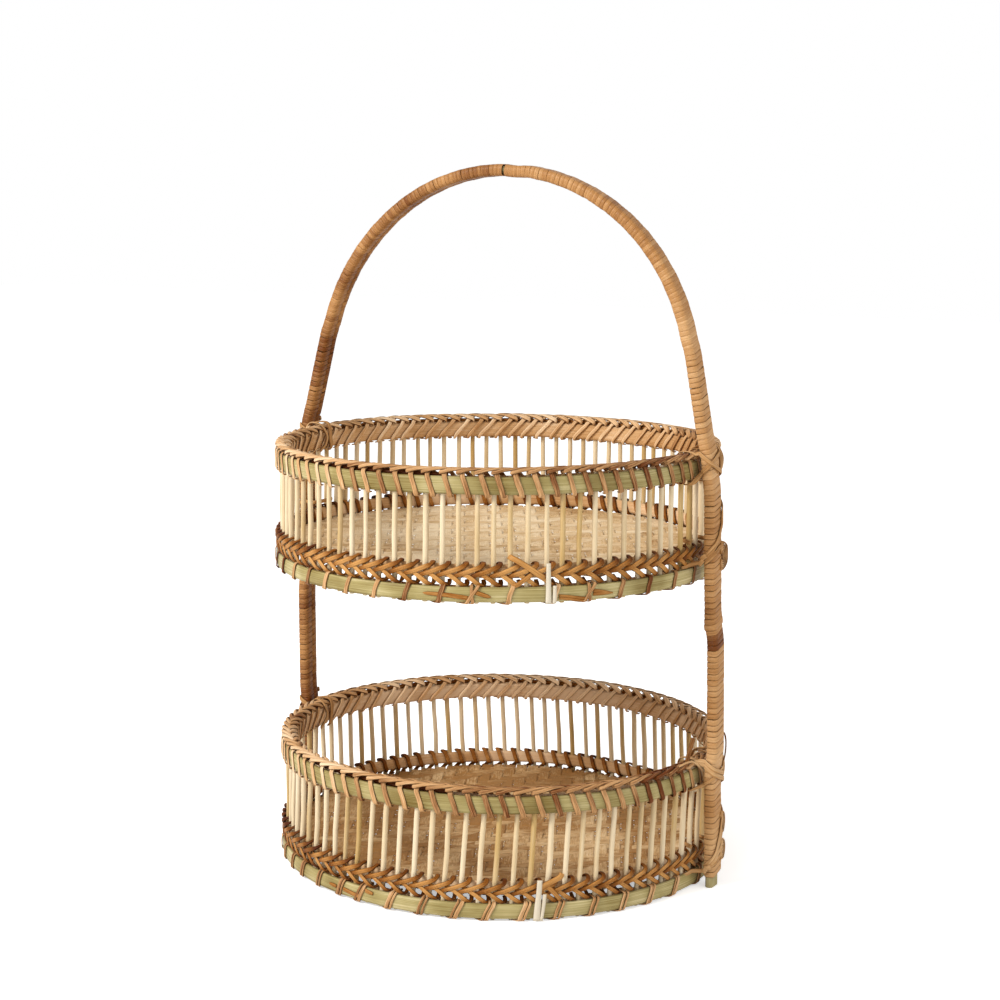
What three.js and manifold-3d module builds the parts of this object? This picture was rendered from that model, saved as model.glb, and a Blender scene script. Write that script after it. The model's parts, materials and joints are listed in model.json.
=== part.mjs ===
import * as THREE from 'three';
import { mergeVertices } from 'three/addons/utils/BufferGeometryUtils.js';
import Module from 'manifold-3d';

// Two-tier bamboo serving stand. Two round trays of upright bamboo stakes, each clamped
// between split-bamboo hoops and bound with cane, hang one above the other on a bent
// handle that is wrapped with cane from foot to foot. Millimetres, +Z up. The handle
// lies in the XZ plane and the stand rests on Z = 0.

const wasm = await Module();
wasm.setup();

// Clearances between pieces that touch on the real stand
const seatGap = 0.3;
const groundGap = 0.1;

// Stakes
const stakeCount = 86;
const stakeCircleRadius = 146.5;
const stakeRadius = 1.8;
const stakeSides = 5;
const stakeHeight = 79.2;

// Split-bamboo hoops, an outer and an inner one at the rim and at the base
const hoopThickness = 2.3;
const rimHoopHeight = 11.5;
const baseHoopHeight = 10;

// Inner hoop that the stakes are bound to at the waist
const waistHoopThickness = 2;
const waistHoopHeight = 9;
const waistHoopDrop = 1.2;
const waistHoopGrip = 0.5;

// Cane strip that lashes the hoops together
const caneWidth = 3;
const caneThickness = 0.8;
const rimStitchGapCount = 2;
const rimOutsideSlant = 1;
const rimInsideSlant = 4.5;
const baseStitchGapCount = 4;
const baseFirstGapCount = 4;

// Braided edge on top of the rim and twined band at the waist
const edgeBraidWidth = 6;
const edgeBraidHeight = 3.6;
const twiningHeight = 14.5;
const twiningThickness = 2.5;
const twiningGroove = 1.2;

// Woven floor on its laths
const floorThickness = 1.2;
const lathCount = 3;
const lathSpacing = 74;
const lathWidth = 12;
const lathThickness = 1.7;

// Flat peg over the twining at the front
const pegWidth = 3.2;
const pegThickness = 1.2;
const pegFoot = 1.5;
const pegHeight = 28;
const upperPegAngle = -49;
const lowerPegAngle = -51.3;

// Tiers
const tierSpacing = 200.6;
const lowerTrayShift = 2.5;
const upperTrayShift = -2.8;

// Handle: upright legs that draw together up to the upper rim, a lean above it, then a
// round arch. The sway is how far the middle of the handle stands to the right.
const legClearance = 0.6;
const legSpread = 2.6;
const uprightHeight = 170;
const rimDrawIn = 2;
const leanGap = 4;
const archRise = 33.7;
const archSetIn = 12.4;
const archSteps = 24;
const footSway = 1.2;
const shoulderSway = 1.5;
const shoulderRise = 142;
const handleThickness = 8.1;
const handleWidth = 14.5;
const coreChamfer = 1.5;

// Cane wrapped round the handle, as one strip
const wrapThickness = 1;
const wrapSeat = 0.6;
const wrapPitch = 14.5;
const wrapJointGap = 0.5;
const bareFootHeight = 9;

// Cane ties that hold the trays to the legs
const tieRadius = 0.8;
const tieSides = 5;
const tieCrossGap = 0.5;
const tieTail = 7;
const waistTieSag = 3;

// Heights above the foot of a tray
const hoopFoot = groundGap + caneThickness + seatGap;
const baseHoopTop = hoopFoot + baseHoopHeight;
const baseLashingTop = baseHoopTop + seatGap + caneThickness;
const twiningFoot = baseLashingTop + seatGap;
const twiningTop = twiningFoot + twiningHeight;
const waistHoopFoot = twiningTop - waistHoopDrop - waistHoopHeight;
const lathFoot = baseLashingTop + seatGap;
const floorFoot = lathFoot + lathThickness + seatGap;
const rimHoopFoot = stakeHeight - rimHoopHeight;
const rimLashingFoot = rimHoopFoot - seatGap - caneThickness;
const edgeBraidFoot = stakeHeight + seatGap + caneThickness + seatGap;
const trayTop = edgeBraidFoot + edgeBraidHeight;

// Radii. Every ring has a flat for each pair of stakes, so a ring outside the stakes is
// measured to its flats and a ring inside them to its corners.
const ringSides = Math.round(stakeCount / 2);
const cornerReach = 1 / Math.cos(Math.PI / ringSides);
const stakePitch = 2 * Math.PI / stakeCount;
const outerHoopInside = stakeCircleRadius + stakeRadius + seatGap;
const outerHoopOutside = outerHoopInside + hoopThickness;
const innerHoopOutside = stakeCircleRadius - stakeRadius - seatGap;
const innerHoopInside = innerHoopOutside - hoopThickness;
const lashingOutside = outerHoopOutside + seatGap + caneThickness;
const lashingInside = innerHoopInside / cornerReach - seatGap - caneThickness;
const twiningOutside = outerHoopInside + twiningThickness;
const floorRadius = innerHoopOutside;

// The legs stand clear of the upper rim's lashing, and lean in above it
const rimHeight = tierSpacing + rimHoopFoot;
const leanHeight = tierSpacing + trayTop + leanGap;
const leanRadius = lashingOutside + legClearance + handleThickness / 2;
const rimRadius = leanRadius + rimDrawIn;
const legRadius = rimRadius + legSpread;
const archRadius = leanRadius - archSetIn;
const archCentre = leanHeight + archRise;

// Half the distance between the legs, and the handle's sway, each straight between knots
const spanKnots = [[uprightHeight, legRadius], [rimHeight, rimRadius], [leanHeight, leanRadius]];
const swayKnots = [
  [trayTop, footSway], [leanHeight, upperTrayShift], [leanHeight + shoulderRise, shoulderSway],
];

const strawColour = '#dcc79c';
const greenBambooColour = '#a9a66b';
const innerBambooColour = '#d7b491';
const lashingColour = '#c3915f';
const twiningColour = '#96603a';
const wrapColour = '#c8965f';
const pegColour = '#e9dfc6';

function degrees(angle) {
  return THREE.MathUtils.degToRad(angle);
}

// Closed body through a row of sections with as many points each
function loft(sections) {
  const sides = sections[0].length;
  const vertices = sections.flat().flatMap((point) => [point.x, point.y, point.z]);
  const triangles = [];
  for (let step = 0; step + 1 < sections.length; step += 1) {
    for (let side = 0; side < sides; side += 1) {
      const next = (side + 1) % sides;
      const near = step * sides;
      const far = near + sides;
      triangles.push(near + side, near + next, far + next);
      triangles.push(near + side, far + next, far + side);
    }
  }
  const last = (sections.length - 1) * sides;
  for (let side = 1; side + 1 < sides; side += 1) {
    triangles.push(0, side + 1, side);
    triangles.push(last, last + side, last + side + 1);
  }
  return faceOutwards(vertices, triangles);
}

// Turns the triangles over where they enclose a negative volume
function faceOutwards(vertices, triangles) {
  const corner = (index) => new THREE.Vector3().fromArray(vertices, 3 * triangles[index]);
  let volume = 0;
  for (let index = 0; index < triangles.length; index += 3) {
    volume += corner(index).dot(corner(index + 1).cross(corner(index + 2)));
  }
  const geometry = new THREE.BufferGeometry();
  geometry.setAttribute('position', new THREE.Float32BufferAttribute(vertices, 3));
  geometry.setIndex(volume < 0 ? triangles.reverse() : triangles);
  return geometry;
}

// Ring turned from a closed outline of [radius, height] points, given anticlockwise
function turnedRing(outline) {
  const profile = [...outline, outline[0]].map(([radius, height]) => new THREE.Vector2(radius, height));
  const geometry = new THREE.LatheGeometry(profile, ringSides);
  geometry.rotateX(Math.PI / 2);
  geometry.rotateZ(Math.PI / 2 + Math.PI / ringSides);
  return geometry;
}

function hoop(inside, outside, foot, height) {
  const top = foot + height;
  return turnedRing([[inside, foot], [outside, foot], [outside, top], [inside, top]]);
}

function outerHoop(foot, height) {
  return hoop(outerHoopInside * cornerReach, outerHoopOutside * cornerReach, foot, height);
}

function innerHoop(foot, height) {
  return hoop(innerHoopInside, innerHoopOutside, foot, height);
}

function toSolid(geometry) {
  const bare = geometry.clone();
  bare.deleteAttribute('normal');
  bare.deleteAttribute('uv');
  const merged = mergeVertices(bare, 1e-4);
  return new wasm.Manifold(new wasm.Mesh({
    numProp: 3,
    vertProperties: merged.attributes.position.array,
    triVerts: new Uint32Array(merged.index.array),
  }));
}

function toGeometry(solid) {
  const mesh = solid.getMesh();
  const geometry = new THREE.BufferGeometry();
  geometry.setAttribute('position', new THREE.BufferAttribute(mesh.vertProperties, 3));
  geometry.setIndex(new THREE.BufferAttribute(mesh.triVerts, 1));
  return geometry;
}

// One upright stake, with a corner turned to the tray's axis
function stake(angle) {
  const geometry = new THREE.CylinderGeometry(stakeRadius, stakeRadius, stakeHeight, stakeSides);
  geometry.rotateX(Math.PI / 2);
  geometry.rotateZ(angle - Math.PI / 2);
  geometry.translate(
    stakeCircleRadius * Math.cos(angle),
    stakeCircleRadius * Math.sin(angle),
    stakeHeight / 2,
  );
  return geometry;
}

// The stakes are bound to the waist hoop, which carries them as one body
function stakesOnWaistHoop() {
  const outside = stakeCircleRadius - stakeRadius + waistHoopGrip;
  const waistHoop = hoop(outside - waistHoopThickness, outside, waistHoopFoot, waistHoopHeight);
  let wall = toSolid(waistHoop);
  for (let index = 0; index < stakeCount; index += 1) {
    wall = wall.add(toSolid(stake((index + 0.5) * stakePitch)));
  }
  return toGeometry(wall);
}

// Four corners of the cane strip where it bends over an edge of the hoops
function caneBend(angle, faceRadius, backRadius, faceHeight, backHeight) {
  const along = new THREE.Vector3(-Math.sin(angle), Math.cos(angle), 0);
  const face = new THREE.Vector3(faceRadius * Math.cos(angle), faceRadius * Math.sin(angle), faceHeight);
  const back = new THREE.Vector3(backRadius * Math.cos(angle), backRadius * Math.sin(angle), backHeight);
  return [
    face.clone().addScaledVector(along, -caneWidth / 2),
    back.clone().addScaledVector(along, -caneWidth / 2),
    back.clone().addScaledVector(along, caneWidth / 2),
    face.clone().addScaledVector(along, caneWidth / 2),
  ];
}

// Bends of the lashing strip at the four edges of a pair of hoops. The strip lies
// seatGap off the hoops and the face away from them is caneThickness further out.
function lashingBends(foot, top) {
  const outside = lashingOutside;
  const inside = lashingInside;
  return {
    outerTop: (angle) => caneBend(angle, outside - caneThickness, outside, top - caneThickness, top),
    outerFoot: (angle) => caneBend(angle, outside - caneThickness, outside, foot + caneThickness, foot),
    innerFoot: (angle) => caneBend(angle, inside + caneThickness, inside, foot + caneThickness, foot),
    innerTop: (angle) => caneBend(angle, inside + caneThickness, inside, top - caneThickness, top),
  };
}

// Rim lashing: down outside, under the hoops through a gap between two stakes, back up
// inside on a slant, then forward over the top to the next stitch
function rimLashingSections() {
  const bends = lashingBends(rimLashingFoot, stakeHeight + seatGap + caneThickness);
  const turns = Math.floor((stakeCount - 1) / rimStitchGapCount);
  const sections = [];
  for (let turn = 0; turn < turns; turn += 1) {
    const gap = turn * rimStitchGapCount * stakePitch;
    sections.push(bends.outerTop(gap - degrees(rimOutsideSlant)));
    sections.push(bends.outerFoot(gap));
    sections.push(bends.innerFoot(gap));
    sections.push(bends.innerTop(gap - degrees(rimInsideSlant)));
  }
  return sections;
}

// Base lashing: a loop through the gap between two stakes, then along the inside
// of the inner hoop to the next loop
function baseLashingSections() {
  const bends = lashingBends(groundGap, baseLashingTop);
  const turns = Math.floor((stakeCount - 1) / baseStitchGapCount);
  const sections = [];
  for (let turn = 0; turn < turns; turn += 1) {
    const gap = (baseFirstGapCount + turn * baseStitchGapCount) * stakePitch;
    sections.push(bends.innerFoot(gap));
    sections.push(bends.outerFoot(gap));
    sections.push(bends.outerTop(gap));
    sections.push(bends.innerTop(gap));
  }
  return sections;
}

// Round cane along straight stretches, with mitred corners
function mitredCane(points, radius, sides) {
  const directions = points.slice(1).map((point, index) => point.clone().sub(points[index]).normalize());
  const sideways = new THREE.Vector3(0, 1, 0);
  const start = new THREE.Vector3().crossVectors(directions[0], sideways).normalize();
  let spokes = [];
  for (let side = 0; side < sides; side += 1) {
    const turn = 2 * Math.PI * side / sides;
    spokes.push(start.clone().applyAxisAngle(directions[0], turn).multiplyScalar(radius));
  }
  const sections = [spokes.map((spoke) => spoke.clone().add(points[0]))];
  for (let index = 1; index < points.length; index += 1) {
    const before = directions[index - 1];
    const after = directions[Math.min(index, directions.length - 1)];
    const across = before.clone().add(after).normalize();
    const mitred = spokes.map((spoke) => (
      spoke.clone().addScaledVector(before, -spoke.dot(across) / before.dot(across))
    ));
    sections.push(mitred.map((spoke) => spoke.clone().add(points[index])));
    spokes = mitred.map((spoke) => spoke.clone().addScaledVector(after, -spoke.dot(after)));
  }
  return sections;
}

// Value at a height, straight between knots of [height, value] and level beyond them
function valueAt(knots, height) {
  const above = knots.findIndex((knot) => knot[0] > height);
  if (above === 0) return knots[0][1];
  if (above < 0) return knots[knots.length - 1][1];
  const [[startHeight, start], [endHeight, end]] = knots.slice(above - 1, above + 1);
  return THREE.MathUtils.mapLinear(height, startHeight, endHeight, start, end);
}

// Tie crossed over the leg and round the rim. Points are in the tray's own frame, with
// the leg on +X at the given reach below and above the rim.
function rimTiePoints(lowReach, highReach) {
  const lowHeight = rimLashingFoot - seatGap - tieRadius;
  const highHeight = trayTop + seatGap + tieRadius;
  const faceOffset = handleThickness / 2 + seatGap + tieRadius;
  const crossing = 2 * tieRadius + tieCrossGap;
  const sideways = handleWidth / 2 + seatGap + tieRadius;
  const throughGap = stakeCircleRadius * Math.sin(stakePitch);
  const inside = Math.sqrt((lashingInside - seatGap - tieRadius) ** 2 - throughGap ** 2);
  const point = (x, y, z) => new THREE.Vector3(x, y, z);
  return [
    point(inside, -throughGap, lowHeight + tieTail),
    point(inside, -throughGap, lowHeight),
    point(lowReach + faceOffset, -sideways, lowHeight),
    point(highReach + faceOffset, sideways, highHeight),
    point(inside, throughGap, highHeight),
    point(inside, throughGap, lowHeight),
    point(lowReach + faceOffset + crossing, sideways, lowHeight),
    point(highReach + faceOffset + crossing, -sideways, highHeight),
    point(inside - crossing, -throughGap, highHeight),
    point(inside - crossing, -throughGap, highHeight - tieTail),
  ];
}

// Tie wound twice round the leg and the two stakes behind it, just above the twining
function waistTiePoints(reach) {
  const lowHeight = twiningTop + seatGap + tieRadius;
  const highHeight = lowHeight + 2 * tieRadius + tieCrossGap;
  const face = reach + handleThickness / 2 + seatGap + tieRadius;
  const sideways = handleWidth / 2 + seatGap + tieRadius;
  const throughGap = stakeCircleRadius * Math.sin(stakePitch);
  const inside = stakeCircleRadius - stakeRadius - seatGap - tieRadius;
  const beyond = twiningOutside * cornerReach + seatGap + tieRadius;
  const point = (x, y, z) => new THREE.Vector3(x, y, z);
  return [lowHeight, highHeight].flatMap((height) => [
    point(inside, -throughGap, height),
    point(beyond, -sideways, height),
    point(face, -sideways, height - waistTieSag),
    point(face, sideways, height - waistTieSag),
    point(beyond, sideways, height),
    point(inside, throughGap, height),
  ]);
}

// Half of the handle's line, from a foot to the top of the arch, as [span, height] points.
// The line of the lean touches the arch, which gives its angle.
function halfLine() {
  const fromArchCentre = Math.hypot(leanRadius, archRise);
  const lean = Math.acos(archRadius / fromArchCentre) - Math.atan2(archRise, leanRadius);
  const line = [[legRadius, 0], [legRadius, trayTop], ...spanKnots.map(([height, span]) => [span, height])];
  for (let step = 0; step <= archSteps / 2; step += 1) {
    const angle = lean + (Math.PI / 2 - lean) * 2 * step / archSteps;
    line.push([archRadius * Math.cos(angle), archCentre + archRadius * Math.sin(angle)]);
  }
  return line;
}

// Middle of the handle from foot to foot, each with the direction that points outwards,
// drawn out at a bend so that the section keeps its thickness
function handleStations() {
  const placed = (side) => ([span, height]) => (
    new THREE.Vector3(side * span + valueAt(swayKnots, height), 0, height)
  );
  const half = halfLine();
  const line = [...half.map(placed(1)), ...half.slice(0, -1).reverse().map(placed(-1))];
  const stretches = line.slice(1).map((point, index) => point.clone().sub(line[index]).normalize());
  return line.map((middle, index) => {
    const before = stretches[Math.max(index - 1, 0)];
    const after = stretches[Math.min(index, stretches.length - 1)];
    const along = before.clone().add(after).normalize();
    const outwards = new THREE.Vector3(along.z, 0, -along.x).divideScalar(along.dot(before));
    return { middle, outwards };
  });
}

const stations = handleStations();

// Corner of the handle's section, reaching outwards in its plane and sideways along Y
function handleCorner(station, reach, sideways) {
  const corner = station.middle.clone().addScaledVector(station.outwards, reach);
  corner.y = sideways;
  return corner;
}

function handleCoreSections() {
  const thick = handleThickness / 2 - wrapThickness - wrapSeat;
  const wide = handleWidth / 2 - wrapThickness - wrapSeat;
  const corners = [
    [thick, wide - coreChamfer], [thick - coreChamfer, wide],
    [coreChamfer - thick, wide], [-thick, wide - coreChamfer],
    [-thick, coreChamfer - wide], [coreChamfer - thick, -wide],
    [thick - coreChamfer, -wide], [thick, coreChamfer - wide],
  ];
  return stations.map((station) => (
    corners.map(([reach, sideways]) => handleCorner(station, reach, sideways))
  ));
}

// Length of the handle's middle up to each station
const stationLengths = [0];
for (let index = 1; index < stations.length; index += 1) {
  const step = stations[index].middle.distanceTo(stations[index - 1].middle);
  stationLengths.push(stationLengths[index - 1] + step);
}
const handleLength = stationLengths[stationLengths.length - 1];

// Point at a corner of the section, at a length along the handle
function pointOnHandle(length, reach, sideways) {
  const found = stationLengths.findIndex((stationLength) => stationLength > length);
  const far = found < 0 ? stations.length - 1 : found;
  const near = far - 1;
  const share = (length - stationLengths[near]) / (stationLengths[far] - stationLengths[near]);
  const start = handleCorner(stations[near], reach, sideways);
  return start.lerp(handleCorner(stations[far], reach, sideways), share);
}

// Cane strip wound round the core, with a bend at each corner of the section
function wrapSections() {
  const outerThick = handleThickness / 2;
  const outerWide = handleWidth / 2;
  const corners = [[1, 1], [-1, 1], [-1, -1], [1, -1]];
  const stripWidth = wrapPitch - wrapJointGap;
  const wound = handleLength - 2 * bareFootHeight - stripWidth;
  const bends = Math.floor(wound / wrapPitch * corners.length);
  const sections = [];
  for (let bend = 0; bend <= bends; bend += 1) {
    const middle = bareFootHeight + stripWidth / 2 + wound * bend / bends;
    const [outwards, sideways] = corners[bend % corners.length];
    const edge = (length, depth) => (
      pointOnHandle(length, outwards * (outerThick - depth), sideways * (outerWide - depth))
    );
    sections.push([
      edge(middle - stripWidth / 2, wrapThickness),
      edge(middle - stripWidth / 2, 0),
      edge(middle + stripWidth / 2, 0),
      edge(middle + stripWidth / 2, wrapThickness),
    ]);
  }
  return sections;
}

// Least distance between stretches of one cane that aren't neighbours, on sampled points
function leastGap(sections) {
  const sampleStep = 2;
  const samples = [];
  for (let step = 0; step + 1 < sections.length; step += 1) {
    sections[step].forEach((start, side) => {
      const end = sections[step + 1][side];
      const count = Math.ceil(start.distanceTo(end) / sampleStep);
      for (let part = 0; part <= count; part += 1) {
        samples.push({ step, point: start.clone().lerp(end, part / count) });
      }
    });
  }
  let least = Infinity;
  samples.forEach((first, index) => {
    for (let other = index + 1; other < samples.length; other += 1) {
      if (samples[other].step > first.step + 1) {
        least = Math.min(least, first.point.distanceToSquared(samples[other].point));
      }
    }
  });
  return Math.sqrt(least);
}

function windCane(name, sections) {
  console.log(`${name}: least gap of the cane to itself ${leastGap(sections).toFixed(2)} mm`);
  return loft(sections);
}

// Two rounded rows of twining with the groove between them, outside the stakes
function waistTwining() {
  const inside = outerHoopInside * cornerReach;
  const outside = twiningOutside * cornerReach;
  const rowHeight = twiningHeight / 2;
  const rounding = rowHeight / 4;
  const middle = twiningFoot + rowHeight;
  return turnedRing([
    [inside, twiningFoot],
    [outside, twiningFoot + rounding],
    [outside, middle - rounding],
    [outside - twiningGroove, middle],
    [outside, middle + rounding],
    [outside, twiningTop - rounding],
    [inside, twiningTop],
  ]);
}

// Braided edge, domed on top, over the ends of the stakes
function rimEdgeBraid() {
  const inside = stakeCircleRadius - edgeBraidWidth / 2;
  const outside = stakeCircleRadius + edgeBraidWidth / 2;
  const shoulder = edgeBraidFoot + edgeBraidHeight / 2;
  return turnedRing([
    [inside, edgeBraidFoot],
    [outside, edgeBraidFoot],
    [outside, shoulder],
    [stakeCircleRadius, trayTop],
    [inside, shoulder],
  ]);
}

function floorMat() {
  const geometry = new THREE.CylinderGeometry(floorRadius, floorRadius, floorThickness, ringSides);
  geometry.rotateX(Math.PI / 2);
  geometry.rotateZ(Math.PI / 2 + Math.PI / ringSides);
  geometry.translate(0, 0, floorFoot + floorThickness / 2);
  return geometry;
}

// Split-bamboo lath across the tray, with its ends on the lashed inner base hoop
function floorLath(index) {
  const offset = (index - (lathCount - 1) / 2) * lathSpacing;
  const farEdge = Math.abs(offset) + lathWidth / 2;
  const reach = innerHoopOutside / cornerReach;
  const length = 2 * Math.sqrt(reach ** 2 - farEdge ** 2);
  const geometry = new THREE.BoxGeometry(length, lathWidth, lathThickness);
  geometry.translate(0, offset, lathFoot + lathThickness / 2);
  return geometry;
}

function frontPeg(angle) {
  const geometry = new THREE.BoxGeometry(pegThickness, pegWidth, pegHeight);
  const foot = twiningOutside * cornerReach + seatGap;
  geometry.translate(foot + pegThickness / 2, 0, pegFoot + pegHeight / 2);
  geometry.rotateZ(degrees(angle));
  return geometry;
}

function piece(name, geometry, colour, roughness) {
  const material = new THREE.MeshStandardMaterial({ color: colour, roughness, metalness: 0 });
  const mesh = new THREE.Mesh(geometry, material);
  mesh.name = name;
  return mesh;
}

function tray(tier, pegAngle) {
  const group = new THREE.Group();
  const add = (name, geometry, colour, roughness) => {
    group.add(piece(`${tier}_${name}`, geometry, colour, roughness));
  };
  add('stakes_and_waist_hoop', stakesOnWaistHoop(), strawColour, 0.55);
  add('rim_outer_hoop', outerHoop(rimHoopFoot, rimHoopHeight), greenBambooColour, 0.4);
  add('rim_inner_hoop', innerHoop(rimHoopFoot, rimHoopHeight), innerBambooColour, 0.6);
  add('rim_lashing', windCane(`${tier} rim lashing`, rimLashingSections()), lashingColour, 0.5);
  add('rim_edge_braid', rimEdgeBraid(), lashingColour, 0.5);
  add('waist_twining', waistTwining(), twiningColour, 0.5);
  add('floor_mat', floorMat(), strawColour, 0.65);
  for (let index = 0; index < lathCount; index += 1) {
    add(`floor_lath_${index + 1}`, floorLath(index), innerBambooColour, 0.6);
  }
  add('base_outer_hoop', outerHoop(hoopFoot, baseHoopHeight), greenBambooColour, 0.4);
  add('base_inner_hoop', innerHoop(hoopFoot, baseHoopHeight), innerBambooColour, 0.6);
  add('base_lashing', windCane(`${tier} base lashing`, baseLashingSections()), lashingColour, 0.5);
  add('front_peg', frontPeg(pegAngle), pegColour, 0.6);
  return group;
}

// The two ties at one leg of a tray. The left leg's ties are the right one's turned
// half round the tray's axis.
function legTies(tier, side, trayHeight, trayShift) {
  const turned = side === 'left' ? -1 : 1;
  const localReach = (height) => {
    const sway = valueAt(swayKnots, trayHeight + height) - trayShift;
    return valueAt(spanKnots, trayHeight + height) + turned * sway;
  };
  const group = new THREE.Group();
  const rimPoints = rimTiePoints(localReach(rimLashingFoot), localReach(trayTop));
  const waistPoints = waistTiePoints(localReach(twiningTop - waistTieSag));
  Object.entries({ rim: rimPoints, waist: waistPoints }).forEach(([place, points]) => {
    const sections = mitredCane(points, tieRadius, tieSides);
    const geometry = windCane(`${side} ${tier} ${place} tie`, sections);
    group.add(piece(`${side}_${tier}_${place}_tie`, geometry, wrapColour, 0.5));
  });
  group.rotation.z = side === 'left' ? Math.PI : 0;
  return group;
}

const stand = new THREE.Group();
stand.add(piece('handle_core', loft(handleCoreSections()), greenBambooColour, 0.45));
stand.add(piece('handle_wrap', windCane('handle wrap', wrapSections()), wrapColour, 0.45));

const tiers = [
  { tier: 'lower', height: 0, shift: lowerTrayShift, pegAngle: lowerPegAngle },
  { tier: 'upper', height: tierSpacing, shift: upperTrayShift, pegAngle: upperPegAngle },
];
tiers.forEach(({ tier, height, shift, pegAngle }) => {
  const level = new THREE.Group();
  level.add(tray(tier, pegAngle));
  level.add(legTies(tier, 'right', height, shift));
  level.add(legTies(tier, 'left', height, shift));
  level.position.set(shift, 0, height);
  stand.add(level);
});

export default stand;
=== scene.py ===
# %% [markdown]
# # A two-tier bamboo serving stand
# Two round trays of upright bamboo sticks hang one above the other on a bent handle.
# Everything is held with peeled cane: stitched over the rims, twined round the waists,
# tied round the bases and wound round the handle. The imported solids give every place
# and size, and this script dresses them with the real weave and its finishes.

import json
import math
from functools import partial

import bpy
import numpy as np
from mathutils import Matrix, Vector

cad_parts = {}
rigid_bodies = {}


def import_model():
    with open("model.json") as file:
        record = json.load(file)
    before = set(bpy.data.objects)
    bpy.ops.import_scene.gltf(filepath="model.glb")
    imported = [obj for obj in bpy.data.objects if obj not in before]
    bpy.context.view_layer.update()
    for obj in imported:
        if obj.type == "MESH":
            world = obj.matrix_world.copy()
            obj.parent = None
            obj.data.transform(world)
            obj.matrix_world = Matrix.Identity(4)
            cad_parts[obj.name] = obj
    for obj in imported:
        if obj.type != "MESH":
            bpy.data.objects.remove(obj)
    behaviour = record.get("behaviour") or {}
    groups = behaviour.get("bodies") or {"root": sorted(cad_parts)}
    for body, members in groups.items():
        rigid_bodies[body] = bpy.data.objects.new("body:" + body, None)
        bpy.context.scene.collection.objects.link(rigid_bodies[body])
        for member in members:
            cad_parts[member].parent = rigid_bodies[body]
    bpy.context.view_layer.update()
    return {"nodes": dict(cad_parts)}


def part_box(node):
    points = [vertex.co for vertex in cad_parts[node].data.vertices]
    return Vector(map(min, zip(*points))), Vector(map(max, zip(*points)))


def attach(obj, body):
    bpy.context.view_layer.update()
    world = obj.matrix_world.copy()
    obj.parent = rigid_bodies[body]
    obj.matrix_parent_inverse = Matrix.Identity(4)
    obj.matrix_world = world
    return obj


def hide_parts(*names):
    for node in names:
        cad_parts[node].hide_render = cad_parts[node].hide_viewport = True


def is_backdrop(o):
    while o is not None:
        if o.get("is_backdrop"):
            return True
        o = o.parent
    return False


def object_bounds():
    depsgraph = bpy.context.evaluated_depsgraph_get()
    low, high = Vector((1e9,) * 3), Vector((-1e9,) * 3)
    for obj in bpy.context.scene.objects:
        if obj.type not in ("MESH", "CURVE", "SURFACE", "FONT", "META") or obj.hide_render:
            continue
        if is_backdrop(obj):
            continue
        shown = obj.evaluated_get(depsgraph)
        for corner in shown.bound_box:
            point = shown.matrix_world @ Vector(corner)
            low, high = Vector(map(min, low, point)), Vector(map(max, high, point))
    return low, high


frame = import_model()

# %% [markdown]
# ## The camera
# The trays' rims are circles, so the ellipses in the photograph give the camera's
# distance, height and tilt. A long lens far away was fitted to the rims, the hoops and
# the legs. The stand is turned so that its right leg comes 30 degrees towards the
# camera. The vertical shift keeps the uprights as the photograph shows them.

# %% Camera
camera_turn, camera_pitch, camera_roll = math.radians(30), 0.10, 0.0107
to_right = Vector((math.cos(camera_turn), math.sin(camera_turn), 0))
to_back = Vector((-math.sin(camera_turn), math.cos(camera_turn), 0))
straight_up = Vector((0, 0, 1))

looking = to_back * math.cos(camera_pitch) - straight_up * math.sin(camera_pitch)
camera_up = straight_up * math.cos(camera_pitch) + to_back * math.sin(camera_pitch)
screen_right = to_right * math.cos(camera_roll) + camera_up * math.sin(camera_roll)
screen_up = camera_up * math.cos(camera_roll) - to_right * math.sin(camera_roll)
place = to_back * -1.3583 + straight_up * 0.45075 - to_right * 0.0015

scene = bpy.context.scene
camera = bpy.data.objects.new("camera", bpy.data.cameras.new("camera"))
scene.collection.objects.link(camera)
scene.camera = camera
axes = [(*axis, 0) for axis in (screen_right, screen_up, -looking)]
camera.matrix_world = Matrix([*axes, (*place, 1)]).transposed()
lens = camera.data
lens.sensor_width, lens.lens, lens.shift_y = 36, 72.1, -0.1056
lens.clip_start, lens.clip_end = 0.05, 30
print("camera stands", round(place.length, 3), "m from the stand's foot")

# %% [markdown]
# ## Light and floor
# The photograph has soft daylight from the left and a white background. One large lamp
# stands to the left, a weaker one to the right, and the world fills the shadows. The
# white background is the world as the camera sees it, and the floor keeps the shadow.


# %% Small helpers for node trees
def add_node(tree, kind, inputs=None, **settings):
    """A node with its settings. An input is given a value, or a socket to link it to."""
    made = tree.nodes.new(kind)
    for key, value in settings.items():
        setattr(made, key, value)
    for key, value in (inputs or {}).items():
        if isinstance(value, bpy.types.NodeSocket):
            tree.links.new(value, made.inputs[key])
        else:
            made.inputs[key].default_value = value
    return made


def maths(tree, operation, *operands):
    """The result of one Math node, whose operands are numbers or sockets."""
    return add_node(tree, "ShaderNodeMath", dict(enumerate(operands)), operation=operation).outputs[0]


def paint(*colour):
    """A colour of the photograph, from 0 to 255 in each channel, as Blender's linear colour."""
    channels = [channel / 255 for channel in colour]
    return (*(c / 12.92 if c <= 0.04045 else ((c + 0.055) / 1.055) ** 2.4 for c in channels), 1)


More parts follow.
